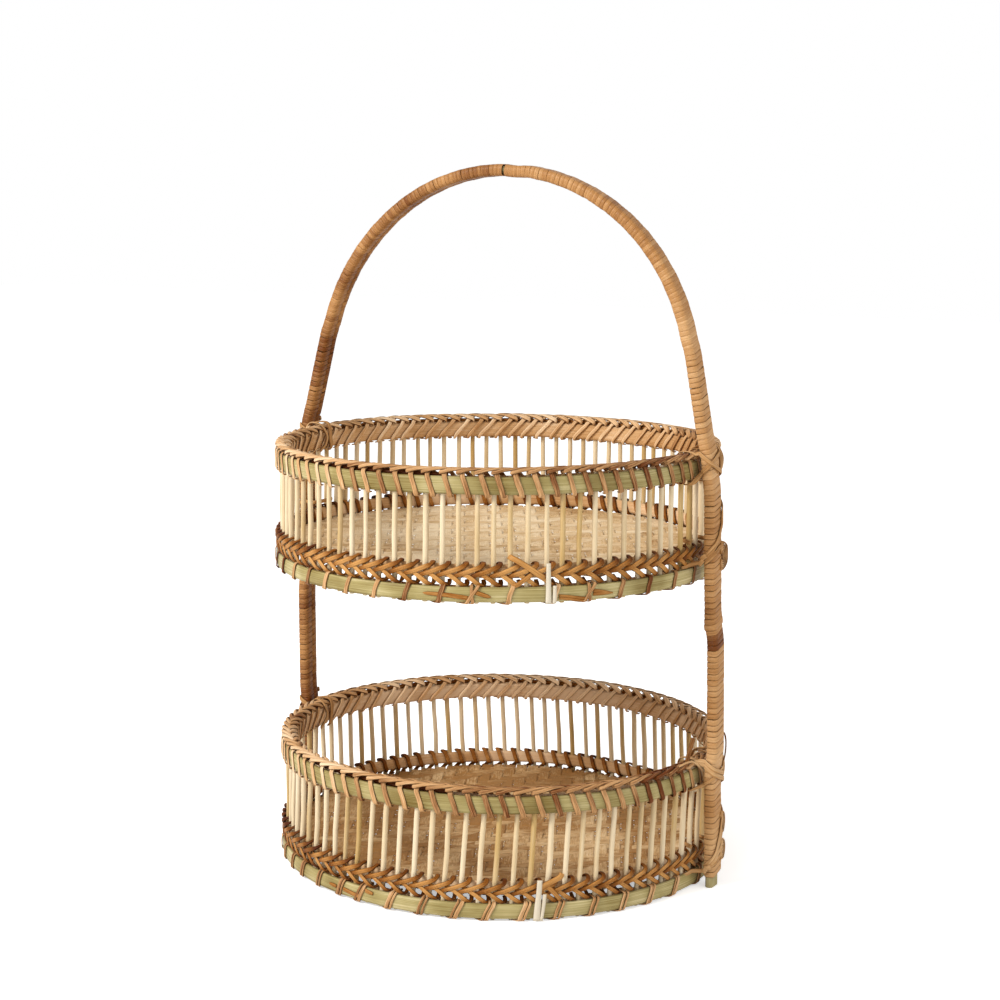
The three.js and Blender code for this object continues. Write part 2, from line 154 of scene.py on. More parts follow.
# %% World and lamps
white = (1, 1, 1, 1)
world_light, seen_light = 0.58, 1
scene.view_settings.view_transform = "Standard"
world = bpy.data.worlds.new("daylight")
scene.world = world
world.use_nodes = True
sky_tree = world.node_tree
sky_tree.nodes.clear()
seen = add_node(sky_tree, "ShaderNodeLightPath").outputs["Is Camera Ray"]
strength = maths(sky_tree, "MULTIPLY_ADD", seen, seen_light - world_light, world_light)
sky = add_node(sky_tree, "ShaderNodeBackground", {"Color": white, "Strength": strength})
add_node(sky_tree, "ShaderNodeOutputWorld", {"Surface": sky.outputs[0]})


stand_middle = Vector((0, 0, 0.22))


def add_lamp(name, stands, size, power):
    """A round soft lamp that looks at the middle of the stand."""
    lamp = bpy.data.lights.new(name, "AREA")
    lamp.shape, lamp.size, lamp.energy = "DISK", size, power
    made = bpy.data.objects.new(name, lamp)
    scene.collection.objects.link(made)
    made.location = stands
    made.rotation_euler = (stand_middle - stands).to_track_quat("-Z", "Y").to_euler()
    print("lamp", name, "of", power, "W")


add_lamp("window_left", to_right * -1.9 + to_back * -1.3 + straight_up * 1.7, 1.1, 66)
add_lamp("card_right", to_right * 2.0 + to_back * -0.9 + straight_up * 0.9, 1.6, 14)

# %% Floor
far, floor_glow = 6, 0.52
floor_mesh = bpy.data.meshes.new("floor")
floor_mesh.from_pydata([(-far, -far, 0), (far, -far, 0), (far, far, 0), (-far, far, 0)], [], [(0, 1, 2, 3)])
floor = bpy.data.objects.new("floor", floor_mesh)
scene.collection.objects.link(floor)
floor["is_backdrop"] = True
floor_material = bpy.data.materials.new("pale floor")
floor_material.use_nodes = True
floor_tree = floor_material.node_tree
floor_surface = floor_tree.nodes["Principled BSDF"].inputs
for key, value in {"Base Color": (0.9, 0.9, 0.9, 1), "Roughness": 0.9, "Specular IOR Level": 0.1,
                   "Emission Color": white}.items():
    floor_surface[key].default_value = value
seen = add_node(floor_tree, "ShaderNodeLightPath").outputs["Is Camera Ray"]
floor_tree.links.new(maths(floor_tree, "MULTIPLY", seen, floor_glow), floor_surface["Emission Strength"])
floor_mesh.materials.append(floor_material)

# %% [markdown]
# ## Sizes from the solids
# Each tray's own frame has its origin on the tray's axis at its foot. The rings are
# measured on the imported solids, so a change there is followed here. There are 86
# sticks in each tray, and the angle between two of them is the unit of every stitch.

# %% Sizes
tiers = ("lower", "upper")
stake_count = 86
stake_pitch = 2 * math.pi / stake_count
stake_radius = 1.7
stake_circle = 146.5
tray_place = {}
for tier in tiers:
    low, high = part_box(f"{tier}_stakes_and_waist_hoop")
    tray_place[tier] = Vector(((low.x + high.x) / 2, 0, low.z))
    print(tier, "tray stands at", [round(s, 4) for s in tray_place[tier]])
origin = {tier: np.array(tray_place[tier]) * 1000 for tier in tiers}


def ring_of(node):
    """Radii and heights of a ring of the lower tray, in millimetres in the tray's frame."""
    low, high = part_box(node)
    points = np.array([v.co for v in frame["nodes"][node].data.vertices], float)
    reach = np.hypot(points[:, 0] - tray_place["lower"].x, points[:, 1])
    foot = tray_place["lower"].z
    ring = {"inside": reach.min() * 1000, "outside": reach.max() * 1000,
            "foot": (low.z - foot) * 1000, "top": (high.z - foot) * 1000}
    print(node, {key: round(size, 1) for key, size in ring.items()})
    return ring


stake_ring, floor_ring = ring_of("lower_stakes_and_waist_hoop"), ring_of("lower_floor_mat")
hoop_rings = {level: (ring_of(f"lower_{level}_outer_hoop"), ring_of(f"lower_{level}_inner_hoop"))
              for level in ("rim", "base")}


def compass(angles):
    """Level unit vectors at angles from the X axis."""
    return np.stack([np.cos(angles), np.sin(angles), 0 * angles], axis=1)


# %% [markdown]
# ## Cane as a swept strip
# Cane and split bamboo are long, so nearly every piece here is one outline swept along
# a path. A strip knows which way its polished face looks at each point of the path,
# and that is what a plain Blender curve can't be told, so the sweep is done with
# arrays. Each point also keeps three numbers for its finish: how far across the strip
# it lies, how far along it, and a number of its own for the strip.


# %% Swept strips
def smooth_path(points, steps):
    """A round path through the points, with some steps between one and the next."""
    points = np.asarray(points, float)
    ends = np.vstack([2 * points[0] - points[1], points, 2 * points[-1] - points[-2]])
    path = []
    for before, start, end, after in zip(ends[:-3], ends[1:-2], ends[2:-1], ends[3:]):
        for share in np.arange(steps) / steps:
            path.append(0.5 * (
                2 * start + (end - before) * share
                + (2 * before - 5 * start + 4 * end - after) * share**2
                + (3 * start - before - 3 * end + after) * share**3
            ))
    return np.array([*path, points[-1]])


cane_outline = np.array([(-0.5, 0.1), (-0.46, 0.6), (-0.28, 0.94), (0, 1), (0.28, 0.94), (0.46, 0.6),
                         (0.5, 0.1), (0, 0)])
cane_across = np.array([0, 0.06, 0.24, 0.5, 0.76, 0.94, 1, 0.5])


def sweep(path, facing, width, thickness, outline=cane_outline, across=cane_across, number=0.5):
    """Closed strip along a path: its points, its faces and its finish numbers."""
    path = np.asarray(path, float)
    forward = np.gradient(path, axis=0)
    forward /= np.linalg.norm(forward, axis=1)[:, None]
    facing = np.asarray(facing, float)
    facing = facing - (facing * forward).sum(1)[:, None] * forward
    facing /= np.linalg.norm(facing, axis=1)[:, None]
    width, thickness = (np.broadcast_to(size, len(path))[:, None, None] for size in (width, thickness))
    points = (
        path[:, None, :]
        + np.cross(forward, facing)[:, None, :] * outline[None, :, :1] * width
        + facing[:, None, :] * outline[None, :, 1:] * thickness
    )
    along = np.concatenate([[0], np.cumsum(np.linalg.norm(np.diff(path, axis=0), axis=1))])
    rings, sides = len(path), len(outline)
    faces = []
    for near in range(0, (rings - 1) * sides, sides):
        for side in range(sides):
            after = (side + 1) % sides
            faces.append((near + side, near + after, near + sides + after, near + sides + side))
    faces += [tuple(reversed(range(sides))), tuple(range((rings - 1) * sides, rings * sides))]
    numbers = np.repeat(np.broadcast_to(number, rings), sides)
    finish = np.stack([np.tile(across, rings), np.repeat(along, sides), numbers], axis=1)
    return points.reshape(-1, 3), faces, finish


# %% Pieces of swept strips
def make_object(name, strips, tone=None):
    """A mesh object of swept strips given in millimetres."""
    starts = np.cumsum([0] + [len(points) for points, _, _ in strips])
    faces = [tuple(corner + start for corner in face)
             for strip, start in zip(strips, starts) for face in strip[1]]
    finish = np.vstack([finish for _, _, finish in strips])
    mesh = bpy.data.meshes.new(name)
    mesh.from_pydata(np.vstack([points for points, _, _ in strips]) * 0.001, [], faces)
    mesh.polygons.foreach_set("use_smooth", [len(face) == 4 for face in faces])
    strand = mesh.attributes.new("strand", "FLOAT_VECTOR", "POINT")
    strand.data.foreach_set("vector", (finish * (1, 0.001, 1)).astype(np.float32).ravel())
    if tone is not None:
        tones = mesh.attributes.new("tone", "FLOAT", "POINT")
        tones.data.foreach_set("value", np.broadcast_to(tone, starts[-1]).astype(np.float32))
    made = bpy.data.objects.new(name, mesh)
    scene.collection.objects.link(made)
    return made


def fasten(piece, slot, *nodes):
    """Puts a piece on the stand, in place of the solids that it stands for."""
    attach(piece, "root")
    if nodes:
        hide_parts(*nodes)


def make_piece(name, slot, finish, tone, strips, *nodes):
    """A piece of swept strips, finished and put on the stand."""
    made = make_object(name, strips, tone)
    made.data.materials.append(finish)
    fasten(made, slot, *nodes)
    print(name, "has", len(strips), "strips")
    return made


# %% [markdown]
# ## One tree that repeats a stitch
# A stitch, a stick or a turn of cane comes back tens or hundreds of times, never quite
# the same. The tree takes a mesh that is only marks, one point for each stitch, which
# hold the turn, the stretch and the tone there. It picks one of three shapes for each
# mark, leans it a little, shifts its tone, and makes it all real at the end.


# %% A helper for node groups
def new_group(name, kind, inputs, outputs):
    """A node group, short names for add_node and maths in it, and its inputs. An input is
    given its kind of socket, or the usual value of a number."""
    tree = bpy.data.node_groups.new(name, kind)
    for key, value in inputs.items():
        given = value if isinstance(value, str) else "Float"
        socket = tree.interface.new_socket(key, in_out="INPUT", socket_type="NodeSocket" + given)
        if given is not value:
            socket.default_value = value
    for key, value in outputs.items():
        tree.interface.new_socket(key, in_out="OUTPUT", socket_type="NodeSocket" + value)
    node = partial(add_node, tree)
    return tree, node, partial(maths, tree), node("NodeGroupInput").outputs


# %% The repeating tree
def build_repeat_tree():
    """The tree, with an input for everything that differs from one winding to the next."""
    tree, node, calc, given = new_group("repeat a stitch on marks", "GeometryNodeTree", {
        "Marks": "Geometry", "Shape A": "Object", "Shape B": "Object", "Shape C": "Object", "Lean": "Float",
        "Tone spread": "Float", "Seed": "Int", "Finish": "Material"}, {"Stitches": "Geometry"})
    shapes = node("GeometryNodeJoinGeometry")
    for name in ("Shape C", "Shape B", "Shape A"):
        shape = node("GeometryNodeObjectInfo", {"As Instance": True, "Object": given[name]})
        tree.links.new(shape.outputs["Geometry"], shapes.inputs[0])
    on_marks = (("tone", "FLOAT"), ("turn", "FLOAT_VECTOR"), ("stretch", "FLOAT_VECTOR"))
    tone, turn, stretch = (
        node("GeometryNodeInputNamedAttribute", {"Name": name}, data_type=kind).outputs[0]
        for name, kind in on_marks)
    shift = node("FunctionNodeRandomValue", {
        2: calc("MULTIPLY", given["Tone spread"], -1), 3: given["Tone spread"], "Seed": given["Seed"]},
        data_type="FLOAT")
    toned = node("GeometryNodeStoreNamedAttribute", {
        "Name": "tone", "Geometry": given["Marks"], "Value": calc("ADD", tone, shift.outputs[1])},
        data_type="FLOAT", domain="POINT")
    lean = node("FunctionNodeRandomValue", {
        0: calc("MULTIPLY", given["Lean"], -1), 1: given["Lean"], "Seed": calc("ADD", given["Seed"], 1)},
        data_type="FLOAT_VECTOR")
    upright, leaning = (node("FunctionNodeEulerToRotation", {0: euler}).outputs[0]
                        for euler in (turn, lean.outputs[0]))
    both = node("FunctionNodeRotateRotation", {0: upright, 1: leaning}, rotation_space="LOCAL")
    pick = node("FunctionNodeRandomValue", {
        4: 0, 5: 2, "Seed": calc("ADD", given["Seed"], 2)}, data_type="INT")
    stitches = node("GeometryNodeInstanceOnPoints", {
        "Pick Instance": True, "Points": toned.outputs[0], "Instance": shapes.outputs[0],
        "Instance Index": pick.outputs[2], "Rotation": both.outputs[0], "Scale": stretch})
    real = node("GeometryNodeRealizeInstances", {0: stitches.outputs[0]})
    finished = node("GeometryNodeSetMaterial", {"Geometry": real.outputs[0], "Material": given["Finish"]})
    node("NodeGroupOutput", {0: finished.outputs[0]})
    return tree


repeat_tree = build_repeat_tree()
print("repeating tree:", len(repeat_tree.nodes), "nodes")


# %% Stitching with the tree
def repeat_shapes(name, shapes, places, turns, tones, finish, stretches=None, lean=0, spread=0.15, seed=1):
    """The shapes on marks, as one plain mesh object. The shapes are used up."""
    marks = bpy.data.meshes.new(name)
    marks.from_pydata([tuple(place) for place in places], [], [])
    count = len(places)
    stretches = np.ones((count, 3)) if stretches is None else stretches
    for key, values in (("turn", turns), ("stretch", stretches)):
        attribute = marks.attributes.new(key, "FLOAT_VECTOR", "POINT")
        attribute.data.foreach_set("vector", np.asarray(values, np.float32).ravel())
    attribute = marks.attributes.new("tone", "FLOAT", "POINT")
    attribute.data.foreach_set("value", np.broadcast_to(tones, count).astype(np.float32))
    made = bpy.data.objects.new(name, marks)
    scene.collection.objects.link(made)
    modifier = made.modifiers.new("repeat", "NODES")
    modifier.node_group = repeat_tree
    wanted = {"Shape A": shapes[0], "Shape B": shapes[1], "Shape C": shapes[2],
              "Lean": math.radians(lean), "Tone spread": spread, "Seed": seed, "Finish": finish}
    for item in repeat_tree.interface.items_tree:
        if item.in_out == "INPUT" and item.name in wanted:
            modifier[item.identifier] = wanted[item.name]
    bpy.context.view_layer.update()
    graph = bpy.context.evaluated_depsgraph_get()
    plain = bpy.data.meshes.new_from_object(
        made.evaluated_get(graph), preserve_all_data_layers=True, depsgraph=graph)
    made.modifiers.clear()
    made.data = plain
    bpy.data.meshes.remove(marks)
    plain.name = name
    for shape in shapes:
        bpy.data.objects.remove(shape)
    triangles = sum(len(face.vertices) - 2 for face in plain.polygons)
    print(name, "has", count, "repeats and", triangles, "triangles")
    return made


# %% [markdown]
# ## Finishes
# Cane and bamboo are bundles of long fibres. Each finish therefore starts from the
# same streaks, drawn along the strip and very fine across it, and from the strip's own
# tone, because no two pieces of a basket come from the same stem. The streaks, the
# tones and the painted shade along the edges are groups, so that every finish shares them.


# %% Fibres along a strip
def ramp(node, value, start, end, **settings):
    """A value mapped from a range to 0 to 1."""
    inputs = {"Value": value, "From Min": start, "From Max": end}
    return node("ShaderNodeMapRange", inputs, **settings).outputs[0]


soft = {"interpolation_type": "SMOOTHSTEP"}


def build_fibre_group():
    """Streaks along a strip, a mask for the painted shade along its edges and for its split, and a height for
    its bump.
    """
    tree, node, calc, given = new_group("fibres along a strip", "ShaderNodeTree", {
        "Strand": "Vector", "Tone": 0.5, "Fineness": 12, "Streak length": 0.012, "Edge start": 0.34,
        "Split": 0, "Split width": 0.09}, {"Streaks": "Float", "Edge": "Float", "Height": "Float"})
    across, along, number = node("ShaderNodeSeparateXYZ", {0: given["Strand"]}).outputs
    drawn = node("ShaderNodeCombineXYZ", {
        0: calc("MULTIPLY", across, given["Fineness"]), 1: calc("DIVIDE", along, given["Streak length"]),
        2: calc("MULTIPLY_ADD", given["Tone"], 61.7, number)})
    noise = node("ShaderNodeTexNoise", {
        "Scale": 1, "Detail": 3, "Roughness": 0.62, "Vector": drawn.outputs[0]}).outputs[0]
    streaks = ramp(node, noise, 0.3, 0.7)
    off_split = calc("ABSOLUTE", calc("ADD", across, calc("MULTIPLY_ADD", noise, 0.3, -0.65)))
    split = calc("MULTIPLY", ramp(node, off_split, given["Split width"], 0.0, **soft), given["Split"])
    off_middle = calc("ABSOLUTE", calc("SUBTRACT", across, 0.5))
    dark = calc("MAXIMUM", ramp(node, off_middle, given["Edge start"], 0.5, **soft), split)
    node("NodeGroupOutput", {"Streaks": streaks, "Edge": dark, "Height": calc("SUBTRACT", streaks, dark)})
    return tree


# %% Tones and patches
def build_tone_group():
    """A colour between three, by a strip's tone and its streaks, with painted shade along its edges."""
    tree, node, calc, given = new_group("tone of a strip", "ShaderNodeTree", {
        "Tone": 0.5, "Streaks": 0.5, "Streak strength": 0.4, "Edge": 0, "Edge darkness": 0.4, "Dark": "Color",
        "Middle": "Color", "Light": "Color"}, {"Color": "Color"})

    def mix(share, first, second):
        inputs = {0: share, 6: first, 7: second}
        return node("ShaderNodeMix", inputs, data_type="RGBA", clamp_factor=True).outputs[2]

    streak = calc("MULTIPLY", calc("SUBTRACT", given["Streaks"], 0.5), given["Streak strength"])
    level = calc("MULTIPLY", calc("ADD", given["Tone"], streak), 2)
    darker = mix(level, given["Dark"], given["Middle"])
    colour = mix(calc("SUBTRACT", level, 1), darker, given["Light"])
    # Painted shade: the edge mask mixes the colour towards a deep brown along the strip's edges.
    shade = calc("MULTIPLY", given["Edge"], given["Edge darkness"])
    node("NodeGroupOutput", {"Color": mix(shade, colour, (0.035, 0.011, 0.002, 1))})
    return tree


def build_patch_group():
    """Large soft patches over the object, from 0 to 1."""
    tree, node, calc, given = new_group(
        "soft patches", "ShaderNodeTree", {"Size": 0.05}, {"Patches": "Float"})
    place = node("ShaderNodeTexCoord").outputs["Object"]
    noise = node("ShaderNodeTexNoise", {
        "Detail": 2, "Roughness": 0.5, "Vector": place, "Scale": calc("DIVIDE", 1, given["Size"])}).outputs[0]
    node("NodeGroupOutput", {"Patches": ramp(node, noise, 0.32, 0.68, **soft)})
    return tree


fibre_group, tone_group, patch_group = build_fibre_group(), build_tone_group(), build_patch_group()
print("shader groups:", fibre_group.name, "/", tone_group.name, "/", patch_group.name)


# %% A finish from the groups
def make_finish(name, dark, middle, light, roughness=0.5, fineness=9, streak_length=0.012, streaks=0.5,
                edge=0, edge_start=0.34, split=0, split_width=0.09, own=0.3, patches=0.25,
                patch_size=0.05, bump=0.25, gloss=0.12, plain=False):
    """Material of one kind of cane or bamboo, from its three colours of the photograph. A
    plain one is for solids, which have no strips, and draws its fibres along Y."""
    material = bpy.data.materials.new(name)
    material.use_nodes = True
    tree = material.node_tree
    node, calc = partial(add_node, tree), partial(maths, tree)
    if plain:
        place = node("ShaderNodeTexCoord").outputs["Object"]
        strand = node("ShaderNodeVectorMath", {0: place, 1: (90, 1, 40)}, operation="MULTIPLY").outputs[0]
        tone = 0.5
    else:
        strand = node("ShaderNodeAttribute", attribute_name="strand").outputs["Vector"]
        number = node("ShaderNodeSeparateXYZ", {0: strand}).outputs[2]
        shift = calc("MULTIPLY_ADD", calc("FRACT", number), own, -own / 2)
        tone = calc("ADD", node("ShaderNodeAttribute", attribute_name="tone").outputs["Fac"], shift)
    patch = node("ShaderNodeGroup", {"Size": patch_size}, node_tree=patch_group).outputs[0]
    fibres = node("ShaderNodeGroup", {
        "Fineness": fineness, "Streak length": streak_length, "Edge start": edge_start, "Split": split,
        "Split width": split_width, "Strand": strand, "Tone": tone}, node_tree=fibre_group).outputs
    # The edge mask and the edge amount paint shade along each strip's edges.
    colour = node("ShaderNodeGroup", {
        "Streak strength": streaks, "Edge darkness": edge, "Dark": paint(*dark), "Middle": paint(*middle),
        "Light": paint(*light), "Tone": calc("MULTIPLY_ADD", calc("SUBTRACT", patch, 0.5), patches, tone),
        "Streaks": fibres["Streaks"], "Edge": fibres["Edge"]}, node_tree=tone_group).outputs[0]
    raised = node("ShaderNodeBump", {
        "Strength": bump, "Distance": 0.0003, "Height": fibres["Height"]}).outputs[0]
    rough = calc("MULTIPLY_ADD", fibres["Streaks"], -0.12, roughness + 0.06)
    surface = tree.nodes["Principled BSDF"].inputs
    surface["Specular IOR Level"].default_value = gloss
    for key, value in {"Base Color": colour, "Roughness": rough, "Normal": raised}.items():
        tree.links.new(value, surface[key])
    print("finish", name)
    return material


# %% The stand's finishes
# The edge amount of each finish sets how dark the painted shade along its strips' edges is.
stick_finish = make_finish(
    "peeled bamboo sticks", (192, 158, 100), (222, 199, 160), (234, 216, 184),
    fineness=7, streak_length=0.03, streaks=0.28, own=0, patches=0.3)
green_finish = make_finish(
    "green bamboo skin", (116, 94, 42), (170, 154, 100), (218, 202, 156), roughness=0.4, fineness=34,
    streak_length=0.045, streaks=0.6, edge=0.2, edge_start=0.42, split=0.5, split_width=0.03, own=0.1,
    patches=0.45, patch_size=0.035, bump=0.2, gloss=0.15)
inner_finish = make_finish(
    "bare inner bamboo", (160, 108, 56), (208, 164, 114), (236, 204, 166), roughness=0.6, fineness=26,
    streak_length=0.04, edge=0.15, patches=0.5)
lashing_finish = make_finish(
    "lashing cane", (104, 50, 10), (204, 156, 104), (242, 210, 170), streaks=0.6, edge=0.85,
    edge_start=0.4, split=0.3)
twining_finish = make_finish(
    "twining cane", (80, 34, 3), (148, 90, 30), (202, 148, 84), roughness=0.47, fineness=10, streaks=0.6,
    edge=0.8, edge_start=0.4, split=0.35, own=0.8)
wrap_finish = make_finish(
    "wrapping cane", (112, 60, 16), (178, 127, 74), (211, 167, 116), roughness=0.42, fineness=10,
    streak_length=0.014, streaks=0.4, edge=0.5, edge_start=0.43, split=0.15, patches=0.35, gloss=0.2)
tie_finish = make_finish(
    "tying cane", (98, 50, 10), (180, 131, 78), (220, 182, 134), roughness=0.47, streak_length=0.015,
    edge=0.8, edge_start=0.4, split=0.25)
floor_finish = make_finish(
    "woven splints", (160, 116, 66), (212, 178, 130), (238, 214, 176), roughness=0.62,
    streak_length=0.006, streaks=0.55, edge=0.25, patches=0.4)
peg_finish = make_finish(
    "shaved pegs", (176, 160, 130), (208, 194, 168), (228, 216, 194), roughness=0.6, fineness=10,
    streak_length=0.03, streaks=0.4, edge=0.35, edge_start=0.4)
core_finish = make_finish(
    "end of the bent bamboo", (122, 108, 62), (172, 158, 112), (206, 194, 152), streak_length=0.02,
    plain=True)
lath_finish = make_finish(
    "floor laths", (176, 136, 90), (212, 176, 130), (232, 206, 166), roughness=0.6, streak_length=0.02,
    plain=True)

# %% [markdown]
# ## The sticks
# Each tray has 86 peeled round sticks. They were drawn through a hole in a plate, so
# they are nearly the same, but each one is a little bent, and set a little off its
# place. Three sticks are made, and the tree sets them round the ring.


# %% Sticks
def round_outline(sides):
    """A round outline of width 1, and how far across it each corner lies."""
    turns = 2 * np.pi * np.arange(sides) / sides
    return 0.5 * compass(turns)[:, :2], 0.5 + 0.5 * np.cos(turns)


def ring_marks(tier, start, random, spread):
    """A mark for each stick round a tray's axis, with the turn there."""
    angles = start + 2 * np.pi * np.arange(stake_count) / stake_count + random.normal(0, spread, stake_count)
    return marks_at(tier, angles)


def marks_at(tier, angles):
    """Marks on the circle of the sticks at some angles, with the turn at each."""
    return compass(angles) * stake_circle * 0.001 + np.array(tray_place[tier]), np.outer(angles, (0, 0, 1))


def make_stick(number, random):
    """One upright stick with small bends, a little thinner at its two ends."""
    heights = np.array([stake_ring["foot"] + 0.2, 2, 20, 40, 60, 77, stake_ring["top"]])
    bend = random.normal(0, 0.18, (len(heights), 2))
    bend[:2] *= 0.3
    width = 2 * stake_radius * (1 + random.normal(0, 0.03, len(heights)))
    width[[0, -1]] *= 0.86
    facing = np.tile((1, 0, 0), (len(heights), 1))
    return make_object(f"stick_{number}", [
        sweep(np.column_stack([bend, heights]), facing, width, width, *round_outline(9))])


ones = np.ones(stake_count)
stick_random = np.random.default_rng(7)
for tier in tiers:
    marks, turns = ring_marks(tier, stake_pitch / 2, stick_random, 0.035 * stake_pitch)
    turns[:, 2] = stick_random.uniform(0, 6.28, stake_count)
    tones = stick_random.choice([0.1, 0.4, 0.62, 0.82], stake_count, p=[0.18, 0.27, 0.35, 0.2])
    thick = stick_random.normal(1, 0.05, stake_count)
    shapes = [make_stick(number, stick_random) for number in range(3)]
    stretches = np.column_stack([thick, thick, ones])
    sticks = repeat_shapes(f"{tier}_sticks", shapes, marks, turns, tones, stick_finish, stretches,
                           lean=0.35, spread=0.1, seed=11)
    fasten(sticks, "straw_bamboo", f"{tier}_stakes_and_waist_hoop")

# %% [markdown]
# ## Split hoops
# A hoop is half a bamboo stem, split long, shaved flat inside, and bent round with its
# ends thinned and laid over each other. Two of them clamp the sticks at the rim and at
# the base, the outer one with its green skin outwards. A third, thin one runs inside at
# the waist. The sweep thins the ends and sets the last one on the first.

# %% Hoops
hoop_outline = np.array([(-0.5, 0.2), (-0.47, 0.7), (-0.3, 0.93), (0, 1), (0.3, 0.93), (0.47, 0.7),
                         (0.5, 0.2), (0.46, 0), (-0.46, 0)])
hoop_across = np.array([0, 0.04, 0.2, 0.5, 0.8, 0.96, 1, 0.9, 0.1])


def hoop_strip(tier, foot, top, seat, thickness, side, joint, random, dip=0):
    """A hoop from its seat against the sticks, outwards (1) or inwards (-1), with its lap
    joint at an angle in degrees."""
    number = random.uniform(0, 90)
    lap = 14
    degrees = np.arange(0, 360 + lap + 1, 2.0)
    angles = np.radians(joint + degrees)
    ends = np.clip(np.minimum(degrees, degrees[-1] - degrees) / lap, 0.25, 1)
    over = np.clip((degrees - 360) / lap + 1, 0, 1) * 0.42 * thickness
    wave = sum(random.normal(0, 0.1) * np.sin(order * angles + random.uniform(0, 6))
               for order in (2, 3, 5, 9))
    radial = compass(angles)
    path = radial * (seat + side * over * (ends < 1))[:, None]
    path[:, 2] = (foot + top) / 2 + wave - dip * (1 + np.cos(angles + math.pi / 3))
    points, faces, finish = sweep(path, radial * side, top - foot - 0.3, thickness * (0.35 + 0.65 * ends),
                                  hoop_outline, hoop_across, number)
    return [(points + origin[tier], faces, finish)]


outer_joints = {"rim": 118, "base": 64}
inner_joint, waist_joint = 200, 260
inner_thickness = 2.2
waist_foot, waist_top, waist_seat, waist_thickness, waist_dip = 17.0, 25.8, 144.9, 1.5, 0.8
hoop_random = np.random.default_rng(21)
for tier in tiers:
    for level, (outer, inner) in hoop_rings.items():
        thickness = outer["outside"] - outer["inside"] - 0.55
        strips = hoop_strip(tier, outer["foot"], outer["top"], outer["inside"], thickness, 1,
                            outer_joints[level], hoop_random)
        tone = 0.34 if (tier, level) == ("lower", "rim") else 0.44
        make_piece(f"{tier}_{level}_outer_hoop_skin", "green_bamboo", green_finish, tone, strips,
                   f"{tier}_{level}_outer_hoop")
        strips = hoop_strip(tier, inner["foot"], inner["top"], inner["outside"] - 0.1, inner_thickness, -1,
                            inner_joint, hoop_random)
        # The lower tray's inner hoops get a lighter tone: painted light that lifts the shade the upper tray
        # casts on them.
        tone = 0.85 if tier == "lower" else 0.6
        make_piece(f"{tier}_{level}_inner_hoop_bare", "inner_bamboo", inner_finish, tone, strips,
                   f"{tier}_{level}_inner_hoop")
    strips = hoop_strip(tier, waist_foot, waist_top, waist_seat, waist_thickness, -1, waist_joint,
                        hoop_random, waist_dip)
    make_piece(f"{tier}_waist_hoop", "straw_bamboo", inner_finish, 0.72, strips)

# %% [markdown]
# ## Stitches over the rim
# One cane strip sews the two rim hoops together round all the sticks. Each stitch climbs
# the outside, turns over the top as a long slanting strand that lies on the strand
# before it, so the rim looks plaited, and slants down the inside to the next gap. A
# stitch is written as rows: how many sticks further round, the radius, the height and
# the way the strip faces. Three stitches are made, each a little different from the
# others, and the tree repeats them round the ring.


# %% Stitches written as rows
def full_rows(rows):
    """Rows as an array of five numbers each, where those left out are 0."""
    return np.array([(*row, 0, 0)[:5] for row in rows], float)


def along_path(values, row_count, path_count):
    """A value for each point of a path, from one value for all its rows or one for each."""
    stations = np.linspace(0, 1, path_count) * (row_count - 1)
    return np.interp(stations, np.arange(row_count), np.broadcast_to(values, row_count))


def strip_of(rows, width, thickness, random=None, steps=4, taper=0.0, number=0.5, radius=stake_circle):
    """A cane strip on rows of (sticks round, radius, height, facing, sideways), a little
    uneven, thinner at its ends by the taper. It faces outwards at 0, up at 90 and inwards
    at 180, turned sideways along the ring. Width and number are for all rows or for each."""
    rows = full_rows(rows)
    if random is not None:
        rows[1:-1, 0] += random.normal(0, 0.03) + random.normal(0, 0.008, len(rows) - 2)
        rows[1:-1, 1:3] += random.normal(0, 0.06, (len(rows) - 2, 2))
    angles, (facing, side) = rows[:, 0] * stake_pitch, np.radians(rows[:, 3:].T)[:, :, None]
    radial, tangent = compass(angles), compass(angles + np.pi / 2)
    points = radial * rows[:, 1:2] + np.outer(rows[:, 2], (0, 0, 1)) - (radius, 0, 0)
    looks = (radial * np.cos(facing) + np.sin(facing) * (0, 0, 1)) * np.cos(side) + tangent * np.sin(side)
    path = smooth_path(points, steps)
    widths, numbers = (along_path(value, len(rows), len(path)) for value in (width, number))
    share = np.linspace(0, 1, len(path))
    ends = 1 - taper * (1 - np.clip(np.minimum(share, 1 - share) * 6, 0, 1))
    wave = 1 + (0 if random is None else random.normal(0, 0.04)) * np.sin(share * 9 + numbers[0] * 7)
    return sweep(path, smooth_path(looks, steps), widths * ends * wave, thickness * ends, number=numbers)


